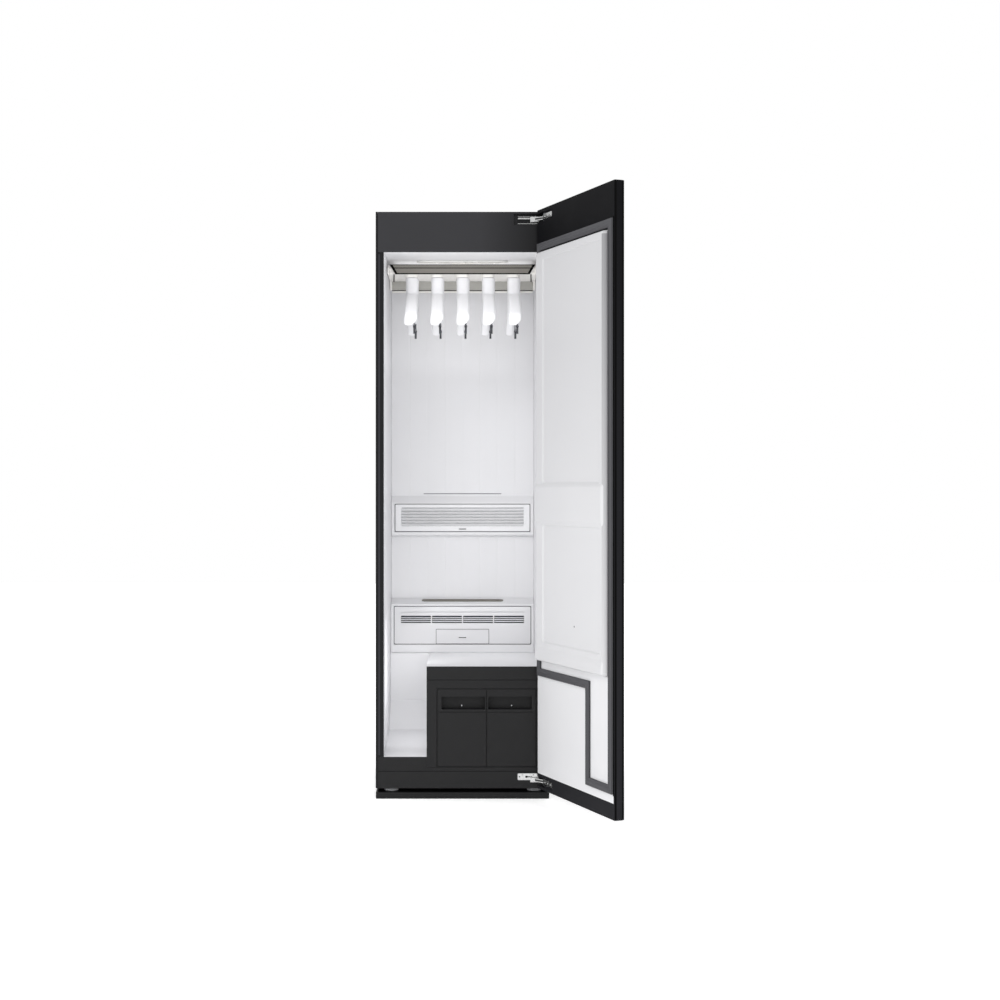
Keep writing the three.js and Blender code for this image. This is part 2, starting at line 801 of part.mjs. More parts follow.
function wallPlan(side, grow = 0) {
  const plan = [[openingHalf - grow, chamberFront - grow], [linerOuter, chamberFront - grow],
    [linerOuter, linerBack + grow], [wallInnerBack - grow, linerBack + grow],
    [wallInnerBack - grow, chamberBack]];
  return outline(plan.map(([x, y]) => [side * x, y]));
}

function chamberWall(side) {
  const foot = side < 0 ? legOpeningBottom - wellSkin : floorTop + fitGap;
  return alongZ(wallPlan(side), [foot, headerBottom - fitGap]);
}

function chamberBackWall() {
  const half = wallInnerBack - fitGap;
  const groove = (x) => [[x - backGrooveWidth / 2, chamberBack], [x, chamberBack + backGrooveDepth],
    [x + backGrooveWidth / 2, chamberBack]];
  const grooves = spread(backGrooveCount, backGroovePitch).flatMap(groove);
  const plan = [[-half, chamberBack], ...grooves, [half, chamberBack], [half, linerBack], [-half, linerBack]];
  const wall = alongZ(outline(plan), [floorTop + fitGap, headerBottom - fitGap]);
  const through = [chamberBack - overrun, linerBack + overrun];
  const ports = [
    block([-upperSlatWidth / 2, upperSlatWidth / 2], through, [upperSlatBottom, upperSlatTop]),
    block([-lowerWindowSpan / 2, lowerWindowSpan / 2], through,
      [lowerWindowBottom, lowerWindowBottom + lowerWindowHeight]),
    block([-slitHalf, slitHalf], [chamberBack - overrun, chamberBack + slitDepth],
      [slitHeight, slitHeight + slitSize]),
  ];
  return cut(wall, ...ports);
}

function chamberCeiling() {
  const slab = block([-linerOuter, linerOuter], [chamberFront, linerBack],
    [headerBottom, headerBottom + linerWall]);
  const airHole = block([-collarHalf, collarHalf], [collarFront, collarBack],
    [headerBottom - overrun, headerBottom + linerWall + overrun]);
  return cut(slab, airHole);
}

function chamberFloor() {
  return block([legOpeningRight, linerOuter], [chamberFront, linerBack], [floorTop - floorThick, floorTop]);
}

// The well's floor rises to the back, then a ramp and a short wall bring it to the chamber floor
function legWell() {
  const top = [[chamberFront, legOpeningBottom], [wellFloorRear, wellFloorRearHeight],
    [wellRampRear, wellRampTop], [wellRampRear, floorTop], [linerBack, floorTop]];
  const under = [[linerBack, floorTop - wellSkin], [wellRampRear + wellSkin, floorTop - wellSkin],
    [wellRampRear + wellSkin, wellRampTop], [wellFloorRear, wellFloorRearHeight - wellSkin],
    [chamberFront, legOpeningBottom - wellSkin]];
  const spanX = [-openingHalf, legOpeningRight + wellSkin];
  const slope = alongX(outline([...top, ...under]), spanX);
  const cheekTop = floorTop - floorThick - fitGap;
  const cheek = [[chamberFront, legOpeningBottom - wellSkin], [wellFloorRear, wellFloorRearHeight - wellSkin],
    [wellRampRear + wellSkin, wellRampTop], [wellRampRear + wellSkin, cheekTop], [chamberFront, cheekTop]];
  const rightCheek = alongX(outline(cheek), [legOpeningRight, legOpeningRight + wellSkin]);
  const floorSeat = block([legOpeningRight - fitGap, legOpeningRight + wellSkin + overrun],
    [chamberFront - overrun, linerBack + overrun], [cheekTop, floorTop + overrun]);
  const leftWall = alongZ(wallPlan(-1, fitGap), [legOpeningBottom - wellSkin - overrun, floorTop + overrun]);
  return cut(join(slope, rightCheek), floorSeat, leftWall);
}

// Air duct housings on the back wall and the panels that close them

const ductHalf = wallInnerBack - fitGap * 2;
const ductBack = chamberBack - fitGap;

function tiltedSlats({ half, bottom, top, count, front, back, thick }) {
  const pitch = (top - bottom) / count;
  const lean = pitch * slatTiltShare;
  return Array.from({ length: count - 1 }, (unused, i) => {
    const z = bottom + pitch * (i + 1);
    const blade = [[front, z - lean - thick / 2], [back, z - thick / 2], [back, z + thick / 2],
      [front, z - lean + thick / 2]];
    return alongX(outline(blade), [-half, half]);
  });
}

function upperDuctHousing() {
  const profile = [[ductBack, upperDuctBottom - ductFoot], [upperDuctFront, upperDuctBottom],
    [upperDuctFront, upperDuctTop], [ductBack, upperDuctTop + upperDuctRise]];
  const body = alongX(outline(profile), [-ductHalf, ductHalf]);
  const pocket = block([-upperPanelWidth / 2 - fitGap, upperPanelWidth / 2 + fitGap],
    [upperDuctFront - overrun, upperDuctFront + panelThick + fitGap],
    [upperPanelBottom - fitGap, upperPanelBottom + upperPanelHeight + fitGap]);
  const throat = block([-upperSlatWidth / 2, upperSlatWidth / 2], [upperDuctFront, chamberBack + overrun],
    [upperSlatBottom, upperSlatTop]);
  return cut(body, pocket, throat);
}

function upperVentPanel() {
  const face = [upperDuctFront, upperDuctFront + panelThick];
  const frame = alongY(roundedOutline([-upperPanelWidth / 2, upperPanelWidth / 2],
    [upperPanelBottom, upperPanelBottom + upperPanelHeight], panelCorner), face);
  const window = block([-upperSlatWidth / 2, upperSlatWidth / 2], [face[0] - overrun, face[1] + overrun],
    [upperSlatBottom, upperSlatTop]);
  const slats = tiltedSlats({
    half: upperSlatWidth / 2 + slatThick, bottom: upperSlatBottom, top: upperSlatTop, count: upperSlatCount,
    front: face[0] + slatThick / 2, back: face[1], thick: slatThick });
  const tab = block([-tabWidth / 2, tabWidth / 2], [face[0] - tabDepth, face[0] + tabDepth],
    [upperTabHeight - tabHeight / 2, upperTabHeight + tabHeight / 2]);
  return join(cut(frame, window), ...slats, tab);
}

const cartridgeBottom = lowerPanelBottom + tabDepth;

function lowerDuctHousing() {
  const profile = [[ductBack, floorTop + fitGap], [lowerDuctFront, floorTop + fitGap],
    [lowerDuctFront, lowerDuctTop], [ductBack, lowerDuctTop + lowerDuctRise]];
  const body = alongX(outline(profile), [-ductHalf, ductHalf]);
  const pocket = block([-lowerPanelWidth / 2 - fitGap, lowerPanelWidth / 2 + fitGap],
    [lowerDuctFront - overrun, lowerDuctFront + panelThick + fitGap],
    [lowerPanelBottom - fitGap, lowerPanelBottom + lowerPanelHeight + fitGap]);
  const throat = block([-lowerWindowSpan / 2, lowerWindowSpan / 2], [lowerDuctFront, chamberBack + overrun],
    [lowerWindowBottom, lowerWindowBottom + lowerWindowHeight]);
  const trayHalf = cartridgeWidth / 2 - cartridgeTrayInset + fitGap;
  const trayTop = cartridgeBottom + cartridgeHeight - cartridgeTrayInset + fitGap;
  const drawer = block([-trayHalf, trayHalf], [lowerDuctFront, lowerDuctFront + cartridgeDepth + fitGap],
    [cartridgeBottom + cartridgeTrayInset - fitGap, trayTop]);
  return cut(body, pocket, throat, drawer);
}

function lowerVentPanel() {
  const face = [lowerDuctFront, lowerDuctFront + panelThick];
  const through = [face[0] - overrun, face[1] + overrun];
  const frame = alongY(roundedOutline([-lowerPanelWidth / 2, lowerPanelWidth / 2],
    [lowerPanelBottom, lowerPanelBottom + lowerPanelHeight], panelCorner), face);
  const windowPitch = (lowerWindowSpan + lowerWindowMullion) / lowerWindowCount;
  const windowHalf = (windowPitch - lowerWindowMullion) / 2;
  const windows = spread(lowerWindowCount, windowPitch).map((x) => block([x - windowHalf, x + windowHalf],
    through, [lowerWindowBottom, lowerWindowBottom + lowerWindowHeight]));
  const slit = block([-lowerWindowSpan / 2, lowerWindowSpan / 2], [face[0] - overrun, face[0] + slitDepth],
    [lowerSlitBottom, lowerSlitBottom + lowerSlitHeight]);
  const cartridgeDoor = block([-cartridgeWidth / 2 - fitGap, cartridgeWidth / 2 + fitGap], through,
    [cartridgeBottom - fitGap, cartridgeBottom + cartridgeHeight + fitGap]);
  const slats = tiltedSlats({
    half: lowerWindowSpan / 2 + slatThick, bottom: lowerWindowBottom, top: lowerWindowBottom + lowerWindowHeight,
    count: lowerSlatCount, front: face[0] + slatThick / 2, back: face[1], thick: slatThick });
  return join(cut(frame, ...windows, slit, cartridgeDoor), ...slats);
}

// A shallow open tray behind a flush front that fills the panel's cut-out
function fragranceCartridge() {
  const [front, back] = [lowerDuctFront, lowerDuctFront + cartridgeDepth];
  const half = cartridgeWidth / 2;
  const top = cartridgeBottom + cartridgeHeight;
  const face = block([-half, half], [front, front + panelThick - fitGap], [cartridgeBottom, top]);
  const trayHalf = half - cartridgeTrayInset;
  const [floor, rim] = [cartridgeBottom + cartridgeTrayInset, top - cartridgeTrayInset];
  const tray = block([-trayHalf, trayHalf], [front + cartridgeWall, back], [floor, rim]);
  const hollow = block([-trayHalf + cartridgeWall, trayHalf - cartridgeWall],
    [front + panelThick, back - cartridgeWall], [floor + cartridgeWall, rim + overrun]);
  const tab = block([-tabWidth / 2, tabWidth / 2], [front - tabDepth, front + tabDepth],
    [cartridgeTabHeight - tabHeight / 2, cartridgeTabHeight + tabHeight / 2]);
  return join(cut(join(face, tray), hollow), tab);
}

// A slotted bar lying on the sloped top of the lower duct housing
function airIntakeTrim() {
  const slope = Math.atan2(lowerDuctRise, ductBack - lowerDuctFront);
  const stadium = roundedOutline([-intakeLength / 2, intakeLength / 2], [-intakeWidth / 2, intakeWidth / 2],
    intakeWidth / 2);
  const bar = alongZ(stadium, [fitGap, fitGap + intakeThick], wideCornerSteps);
  const slotHalf = intakeLength / 2 - intakeSlotMargin;
  const slots = bothSides((side) => block([-slotHalf, slotHalf],
    [side * intakeSlotWidth - intakeSlotWidth / 2, side * intakeSlotWidth + intakeSlotWidth / 2],
    [intakeThick - slitSize / 2, intakeThick + overrun]));
  return cut(bar, ...slots).rotateX(slope)
    .translate(0, (lowerDuctFront + ductBack) / 2, lowerDuctTop + lowerDuctRise / 2);
}

// Lamp and hanger rail under the ceiling

function ceilingLamp() {
  const stadium = roundedOutline([-lampLength / 2, lampLength / 2],
    [lampY - lampWidth / 2, lampY + lampWidth / 2], lampWidth / 2);
  return alongZ(stadium, [headerBottom - fitGap - lampThick, headerBottom - fitGap]);
}

function railFrontBeam() {
  const face = [[-railTopHalf + railMitre, railBottom], [railTopHalf - railMitre, railBottom],
    [railTopHalf, railTop], [-railTopHalf, railTop]];
  const slab = alongY(outline(face), [railFront, railFront + railBeamThick]);
  const lean = new THREE.Matrix4().makeShear(0, 0, 0, 0, 0, -railBeamLean / (railTop - railBottom));
  return slab.translate(0, 0, -railTop).applyMatrix4(lean).translate(0, 0, railTop);
}

function railFrame() {
  const end = [[railFront, railTop - railEndChamfer], [railFront + railEndChamfer, railTop], [railRear, railTop],
    [railRear, railRearBottom], [railRear - railEndChamfer, railRearBottom],
    [railRear - railEndChamfer * 2, railBottom], [railFront, railBottom]];
  const ends = bothSides((side) => alongX(outline(end),
    ordered(side * railHalf, side * (railHalf + railEndThick))));
  const rear = block([-railHalf - railEndThick, railHalf + railEndThick], [railRear, railRear + railRearThick],
    [railRearBottom, railBottom]);
  return join(rear, ...ends);
}

const hangerPlaces = spread(hangerCount, hangerPitch);

function nozzlePlenum() {
  const spanY = [railFront + railBeamThick + railBeamLean + fitGap, railRear - fitGap];
  const box = block([-railHalf + fitGap, railHalf - fitGap], spanY, [railBottom + fitGap, plenumTop]);
  const collar = block([-collarHalf - plenumWall, collarHalf + plenumWall],
    [collarFront - plenumWall, collarBack + plenumWall], [plenumTop - plenumWall, headerBottom - fitGap]);
  const hollow = block([-railHalf + plenumWall, railHalf - plenumWall],
    [spanY[0] + plenumWall, spanY[1] - plenumWall], [railBottom + plenumWall, plenumTop - plenumWall]);
  const throat = block([-collarHalf, collarHalf], [collarFront, collarBack],
    [plenumTop - plenumWall - overrun, headerBottom + overrun]);
  const [holeX, holeY] = [neckSpigotHalfWidth + socketGap, neckSpigotHalfDepth + socketGap];
  const socket = roundedOutline([-holeX, holeX], [hangerY - holeY, hangerY + holeY], neckSpigotHalfWidth / 2);
  const through = [railBottom - overrun, railBottom + plenumWall + overrun];
  const sockets = hangerPlaces.map((x) => alongZ(socket, through)
    .translate(x, 0, 0));
  return cut(join(box, collar), hollow, throat, ...sockets);
}

// Air hangers: a hollow neck that plugs into a nozzle and two drooping arms with blowing slots

function armCentre(share) {
  return { y: share * armReach, z: armCrown - armDrop * Math.abs(share) ** armCurveShare };
}

function hangerArms(grow = 0) {
  const rings = [];
  for (let i = 0; i <= armSections; i += 1) {
    const share = Math.cos(Math.PI * (1 - i / armSections));
    const { y, z } = armCentre(share);
    const round = Math.sqrt(Math.max(1 - share ** armEndPower, 0)) * (1 - armTipShare) + armTipShare;
    const up = armHalfHeight + (armTipHalfHeight - armHalfHeight) * Math.abs(share);
    const skew = (rise) => armSkew * Math.abs(share) * (1 - rise / up) / 2;
    rings.push(squarishRing((across, rise) => new THREE.Vector3(across - skew(rise), y, z + rise),
      armHalfWidth * round + grow, up * round + grow, ringPoints));
  }
  return loft(rings);
}

function hangerNeck() {
  const levels = [[railBottom - fitGap, 1], [(railBottom + armCrown) / 2, neckWaistShare],
    [armCrown, neckFootShare]];
  return loft(levels.map(([z, share]) => squarishRing((across, along) => new THREE.Vector3(across, along, z),
    neckHalfWidth * Math.min(share, 1), neckHalfDepth * share, ringPoints)));
}

function airHanger() {
  const spigot = alongZ(roundedOutline([-neckSpigotHalfWidth, neckSpigotHalfWidth],
    [-neckSpigotHalfDepth, neckSpigotHalfDepth], neckSpigotHalfWidth / 2),
  [railBottom - overrun, railBottom + neckSpigotHeight]);
  const bore = alongZ(roundedOutline([-neckBoreHalfWidth, neckBoreHalfWidth],
    [-neckBoreHalfDepth, neckBoreHalfDepth], neckBoreHalfWidth / 2),
  [railBottom + neckSpigotHeight - neckBoreDepth, railBottom + neckSpigotHeight + overrun]);
  const slots = bothSides((end) => slotShares.map((share) => {
    const { y, z } = armCentre(end * share);
    const reach = [armHalfWidth - slotDepth, armHalfWidth + overrun];
    return bothSides((side) => block(ordered(side * reach[0], side * reach[1]),
      [y - slotLength / 2, y + slotLength / 2], [z - slotHalfHeight, z + slotHalfHeight]));
  })).flat(2);
  return cut(join(hangerArms(), hangerNeck(), spigot), bore, ...slots);
}

function trouserBar() {
  const high = armCentre((barHalf - wireRadius) / armReach).z;
  const wire = [rodAlongY(wireRadius, [-barHalf, barHalf], fewSides).translate(0, 0, barHeight),
    ...bothSides((end) => rod(wireRadius, [barHeight - wireRadius, high], fewSides)
      .translate(0, end * (barHalf - wireRadius), 0))].map((piece) => piece.translate(barOffset, 0, 0));
  const clips = bothSides((end) => {
    const y = end * clipY;
    const top = barHeight + wireRadius + clipBridge;
    const jaw = (side) => [[side * clipGap / 2, top], [side * (clipGap / 2 + clipThick + wireRadius), top],
      [side * (clipGap / 2 + clipThick), top - clipHeight], [side * clipGap / 2, top - clipHeight]];
    const jaws = bothSides((side) => alongX(outline(jaw(side)), [barOffset - clipWidth / 2,
      barOffset + clipWidth / 2]).translate(0, y, 0));
    const bridge = block([barOffset - clipWidth / 2, barOffset + clipWidth / 2], [y - clipGap, y + clipGap],
      [barHeight - wireRadius, top]);
    return [...jaws, bridge];
  }).flat();
  return cut(join(...wire, ...clips), hangerArms(fitGap));
}

// Water tanks: an open tub under a cover whose front carries the finger recess

function tankTub(left) {
  const [x0, x1] = [left + tankSideInset, left + tankWidth - tankSideInset];
  const front = frontY + tankFrontInset + coverSkin + fitGap;
  const stepY = frontY + tankFrontInset + coverSkin + gripDepth + gripWall + fitGap;
  const side = (inset, rim) => [[front + inset, tankFloor + inset], [tankBack - inset, tankFloor + inset],
    [tankBack - inset, rim], [stepY + inset, rim], [stepY + inset, tankStep - inset],
    [front + inset, tankStep - inset]];
  const shell = alongX(outline(side(0, tankRim)), [x0, x1]);
  const hollow = alongX(outline(side(tankWall, tankRim + overrun)), [x0 + tankWall, x1 - tankWall]);
  return cut(shell, hollow);
}

function tankCover(left, side) {
  const [x0, x1] = [left, left + tankWidth];
  const front = frontY + tankFrontInset;
  const plate = alongY(roundedOutline([x0, x1], [bayBottom + tankGap, tankFrontTop], tankCorner),
    [front, front + coverSkin]);
  const gripBack = front + coverSkin + gripDepth;
  const near = tankSideInset + gripWall;
  const gripX = side < 0 ? [x0 + gripMargin, x1 - near] : [x0 + near, x1 - gripMargin];
  const gripBox = block([gripX[0] - gripWall, gripX[1] + gripWall],
    [front + coverSkin / 2, gripBack + gripWall], [gripBottom - gripWall, gripTop + gripWall]);
  const lid = block([x0 + tankSideInset, x1 - tankSideInset], [front + coverSkin / 2, tankBack],
    [tankRim + fitGap, tankRim + fitGap + lidThick]);
  const pocket = block(gripX, [front - overrun, gripBack], [gripBottom, gripTop]);
  return cut(join(plate, gripBox, lid), pocket);
}

// Blower in the top compartment: scroll housing, squirrel-cage wheel and motor

const ceilingTop = headerBottom + linerWall;
const blowerY = collarFront + scrollEnd;

function spiral(inset) {
  const points = Array.from({ length: scrollSteps + 1 }, (unused, i) => {
    const turn = i / scrollSteps;
    const angle = Math.PI * (1 + 2 * turn);
    const radius = scrollStart + (scrollEnd - scrollStart) * turn - inset;
    return [blowerY + radius * Math.cos(angle), blowerZ + radius * Math.sin(angle)];
  });
  return outline(points);
}

function blowerHousing() {
  const half = blowerWidth / 2;
  const bottom = ceilingTop + fitGap;
  const scroll = join(alongX(spiral(0), [-half, half]),
    block([-half, half], [collarFront, collarBack], [bottom, blowerZ]));
  const inner = join(alongX(spiral(scrollWall), [-half + scrollWall, half - scrollWall]),
    block([-half + scrollWall, half - scrollWall], [collarFront + scrollWall, collarBack - scrollWall],
      [bottom - overrun, blowerZ]));
  const foot = block([-half - blowerFoot, half + blowerFoot],
    [collarFront - blowerFoot, collarBack + blowerFoot], [bottom, bottom + blowerFootThick]);
  const inlets = rodAlongX(inletRadius, [-half - overrun, half + overrun], manySides)
    .translate(0, blowerY, blowerZ);
  return cut(join(scroll, foot), inner, inlets);
}

function blowerWheel() {
  const ring = (x) => cut(rodAlongX(wheelRadius, [x - wheelRing / 2, x + wheelRing / 2], manySides),
    rodAlongX(wheelInner, [x - overrun, x + overrun], manySides));
  const disc = rodAlongX(wheelRadius, [-wheelDisc / 2, wheelDisc / 2], manySides);
  const hub = rodAlongX(wheelHub, [-wheelHub, wheelHub]);
  const blades = Array.from({ length: bladeCount }, (unused, i) => {
    const blade = [[wheelInner + wheelRing / 2, -bladeThick / 2], [wheelRadius - wheelRing / 2, bladeLean],
      [wheelRadius - wheelRing / 2, bladeLean + bladeThick], [wheelInner + wheelRing / 2, bladeThick / 2]];
    return alongX(outline(blade), [-wheelHalf, wheelHalf]).rotateX((i / bladeCount) * Math.PI * 2);
  });
  const bore = rodAlongX(shaftRadius + fitGap, [-wheelHub - overrun, wheelHub + overrun]);
  return cut(join(ring(-wheelHalf), ring(wheelHalf), disc, hub, ...blades), bore);
}

function blowerMotor() {
  const near = blowerWidth / 2 + blowerFoot + motorStand;
  const can = rodAlongX(motorRadius, [near, near + motorLength], manySides);
  const shaft = rodAlongX(shaftRadius, [-wheelHub, near + overrun]);
  const seat = ceilingTop + fitGap - blowerZ;
  const cradle = block([near + motorStand, near + motorLength - motorStand],
    [-motorRadius / 2, motorRadius / 2], [seat, 0]);
  const shoe = block([near, near + motorLength], [-motorRadius, motorRadius], [seat, seat + blowerFootThick]);
  return join(can, shaft, cradle, shoe).translate(0, blowerY, blowerZ);
}

function controlBoard() {
  const bottom = ceilingTop + fitGap;
  const top = bottom + boardStandoff;
  const [halfX, halfY] = [boardWidth / 2, boardDepth / 2];
  const plate = block([-halfX, halfX], [-halfY, halfY], [top, top + boardThick]);
  const post = rod(boardPostRadius, [bottom, top + boardThick / 2], fewSides);
  const posts = bothSides((side) => bothSides((end) => post.clone()
    .translate(side * (halfX - boardPostInset), end * (halfY - boardPostInset), 0))).flat();
  const parts = boardPartShares.map(([x, y, wide, deep, tall]) => block(
    [(x - wide / 2) * halfX, (x + wide / 2) * halfX], [(y - deep / 2) * halfY, (y + deep / 2) * halfY],
    [top + boardThick / 2, top + boardThick + tall * boardPartHeight]));
  return join(plate, ...posts, ...parts).translate(boardX, boardY, 0);
}

// Heat pump and steam generator in the machine space behind the tanks

const panTop = bodyBottom + panSheet + fitGap;

function compressor() {
  const bottom = panTop + compressorFootHeight;
  const shoulder = bottom + compressorHeight - compressorDome;
  const dome = (share) => [compressorRadius * Math.cos(share * Math.PI / 2),
    shoulder + compressorDome * Math.sin(share * Math.PI / 2)];
  const shell = turned([[0, bottom], [compressorRadius - compressorDome / 2, bottom],
    [compressorRadius, bottom + compressorDome / 2], ...domeShares.map(dome), [0, dome(1)[1]]], manySides);
  const feet = footTurnShares.map((share) => share * Math.PI * 2).map((angle) => [
    compressorFootSpan * Math.cos(angle), compressorFootSpan * Math.sin(angle)]);
  const grommet = rod(compressorFootRadius, [panTop, bottom + panSheet]);
  const grommets = feet.map(([x, y]) => grommet.clone().translate(x, y, 0));
  const base = alongZ(outline(feet.map(([x, y]) => [x * footPlateShare, y * footPlateShare])),
    [bottom, bottom + panSheet]);
  const aside = compressorRadius + accumulatorRadius + panSheet;
  const bottle = rod(accumulatorRadius, [bottom + compressorDome, bottom + compressorDome + accumulatorHeight])
    .translate(-aside, 0, 0);
  const strap = block([-aside, 0], [-accumulatorRadius / 2, accumulatorRadius / 2],
    [bottom + accumulatorHeight / 2, bottom + accumulatorHeight / 2 + compressorDome]);
  return join(shell, base, ...grommets, bottle, strap).translate(compressorX, compressorY, 0);
}

function heatExchanger() {
  const pitch = (coilRight - coilLeft) / coilFins;
  const comb = [];
  for (let i = 0; i < coilFins; i += 1) {
    const x = coilLeft + i * pitch;
    comb.push([x, coilTop - coilCore / 2], [x + pitch * coilFinShare, coilTop - coilCore / 2],
      [x + pitch * coilFinShare, coilBottom + coilCore], [x + pitch, coilBottom + coilCore]);
  }
  const fins = alongY(outline([...comb, [coilRight, coilBottom], [coilLeft, coilBottom]]),
    [coilFront, coilBack]);
  const cap = block([coilLeft, coilRight], [coilFront, coilBack], [coilTop - coilCore, coilTop]);
  const middle = (coilFront + coilBack) / 2;
  const rowPitch = (coilTop - coilBottom) / (coilTubeRows + 1);
  const stubSpans = [[coilLeft - coilStub, coilLeft + pitch * coilFinShare],
    [coilRight - pitch, coilRight + coilStub]];
  const stubs = Array.from({ length: coilTubeRows }, (unused, i) => coilBottom + rowPitch * (i + 1))
    .flatMap((z) => stubSpans.map((spanX) => rodAlongX(coilTubeRadius, spanX, fewSides)
      .translate(0, middle, z)));
  const endPlate = block([coilRight - pitch, coilRight], [coilFront, coilBack], [coilBottom, coilTop]);
  const feet = [coilLeft, coilRight - coilFoot].map((x) => block([x, x + coilFoot], [coilFront, coilBack],
    [panTop, coilBottom + coilCore]));
  return join(fins, cap, endPlate, ...stubs, ...feet);
}

function steamGenerator() {
  const bottom = panTop + boilerFootHeight;
  const top = bottom + boilerHeight;
  const [halfX, halfY] = [boilerWidth / 2, boilerDepth / 2];
  const tank = alongZ(roundedOutline([-halfX, halfX], [-halfY, halfY], boilerCorner), [bottom, top]);
  const flange = alongZ(roundedOutline([-halfX - boilerRim, halfX + boilerRim], [-halfY - boilerRim,
    halfY + boilerRim], boilerCorner), [top - boilerRim * 2, top - boilerRim]);
  const pipe = rod(boilerPipeRadius, [top - boilerRim, top + boilerPipeHeight]).translate(halfX / 2, 0, 0);
  const valve = rod(boilerPipeRadius * 2, [top - boilerRim, top + boilerRim * 2]).translate(-halfX / 2, 0, 0);
  const foot = rod(boilerPipeRadius, [panTop, bottom + boilerRim], fewSides);
  const feet = bothSides((side) => bothSides((end) => foot.clone()
    .translate(side * (halfX - boilerCorner), end * (halfY - boilerCorner), 0))).flat();
  return join(tank, flange, pipe, valve, ...feet).translate(boilerX, boilerY, 0);
}

// Door pieces are drawn shut in front of the cabinet, then carried to the hinge line

const hingeX = halfWidth - hingeLineInset;
const hingeY = frontY - hingeLineOut;
const doorInner = frontY - doorGap;
const doorOuter = doorInner - doorThick;
const onDoor = (geometry) => geometry.translate(-hingeX, -hingeY, 0);

function doorGlassPanel() {
  return alongY(roundedOutline([-halfWidth, halfWidth], [doorBottom, cabinetHeight], doorCorner),
    [doorOuter, doorOuter + doorGlass]);
}

const notchLeft = halfWidth - hingeNotchLength;
const leafLeft = halfWidth - hingeLeafLength;
const leafRight = notchLeft + hingeLeafTongue;

function doorFrame() {
  const back = doorOuter + doorGlass + fitGap;
  const plan = [[-halfWidth, back], [halfWidth, back], [halfWidth, doorInner - doorEdgeChamfer],
    [halfWidth - doorEdgeChamfer, doorInner], [-halfWidth + doorCorner, doorInner],
    [-halfWidth, doorInner - doorCorner]];
  const slab = alongZ(outline(plan), [doorBottom, cabinetHeight]);
  const notches = hingeHeights.map((z) => block([notchLeft, halfWidth + overrun],
    [back - overrun, doorInner + overrun], [z - hingeNotchHeight / 2, z + hingeNotchHeight / 2]));
  const leafSeats = hingeHeights.map((z) => block([leafLeft - fitGap, notchLeft + overrun],
    [doorInner - hingeLeafThick - fitGap, doorInner + overrun],
    [z - hingeLeafHeight / 2 - fitGap, z + hingeLeafHeight / 2 + fitGap]));
  const side = halfWidth - lowerDoorPanelInset + fitGap;
  const panelSeat = block([-side, side], [doorInner - lowerDoorPanelThick - fitGap, doorInner + overrun],
    [lowerDoorPanelBottom - fitGap, lowerDoorPanelTop + fitGap]);
  return cut(slab, ...notches, ...leafSeats, panelSeat);
}

function lowerDoorPanel() {
  const side = halfWidth - lowerDoorPanelInset;
  return block([-side, side], [doorInner - lowerDoorPanelThick, doorInner],
    [lowerDoorPanelBottom, lowerDoorPanelTop]);
}

// The seal follows the opening: full width above, only the leg well below
function doorGasket() {
  const corners = (inset) => {
    const [free, hinge] = [-halfWidth + gasketFreeInset + inset, halfWidth - gasketHingeInset - inset];
    const branch = gasketBranchX - inset;
    return [[free, gasketBottom + inset], [branch, gasketBottom + inset], [branch, gasketBranchBottom + inset],
      [hinge, gasketBranchBottom + inset], [hinge, gasketTop - inset], [free, gasketTop - inset]];
  };
  const band = (inset, spanY) => {
    const shape = outline(corners(inset));
    shape.holes.push(outline(corners(gasketWidth - inset)));
    return alongY(shape, spanY);
  };
  const base = doorInner + fitGap;
  return join(band(0, [base, base + gasketHeight - gasketLip]),
    band(gasketLip * 2, [base, base + gasketHeight]));
}

// The door's inner moulding: two shallow fields, a raised band between them and a drip ledge at the foot
function doorLiner() {
  const base = doorInner + fitGap;
  const face = base + linerProud;
  const span = (inset) => [-halfWidth + linerFree + inset, halfWidth - linerHinge - inset];
  const rim = (y, inset) => {
    const [x0, x1] = span(inset);
    const corners = [[x0, linerBottom + inset], [x1, linerBottom + inset], [x1, linerTop - inset],
      [x0, linerTop - inset]];
    return corners.map(([x, z]) => new THREE.Vector3(x, y, z));
  };
  const bulge = loft([rim(base, 0), rim(face, linerDraft)]);
  const band = [[face - linerField, linerBandBottom - linerBandSlope * 2],
    [face, linerBandBottom - linerBandSlope], [face + linerField, linerBandBottom],
    [face + linerField, linerBandTop], [face - linerField, linerBandTop + linerBandSlope]];
  const ledge = [[base, linerBottom], [face + linerLedge, linerBottom + linerDraft],
    [face + linerLedge, linerLedgeTop], [face - linerField, linerLedgeTop + linerLedgeSlope],
    [base, linerLedgeTop]];
  const raised = [band, ledge].map((profile) => alongX(outline(profile), span(linerDraft)));
  const fieldX = [span(linerDraft)[0] + linerFieldFree, span(linerDraft)[1] - linerFieldHinge];
  const fields = [[linerBandTop + linerBandSlope, linerFieldTop],
    [linerLedgeTop + linerLedgeSlope, linerBandBottom - linerBandSlope * 2]].map(([z0, z1]) => {
    const corners = (inset) => [[fieldX[0] + inset, z0 + inset], [fieldX[1] - inset, z0 + inset],
      [fieldX[1] - inset, z1 - inset], [fieldX[0] + inset, z1 - inset]];
    const ring = (y, inset) => corners(inset).map(([x, z]) => new THREE.Vector3(x, y, z));
    return loft([ring(face - linerField, linerField), ring(face + linerField, -linerField)]);
  });
  const spot = rodAlongY(linerSpotRadius, [face - linerField * 2, face + overrun], fewSides)
    .translate(linerSpotX, 0, linerSpotHeight);
  return join(cut(bulge, ...fields, spot), ...raised);
}

// Concealed hinges: plate and arm stay on the cabinet, leaf, ears and pin swing with the door

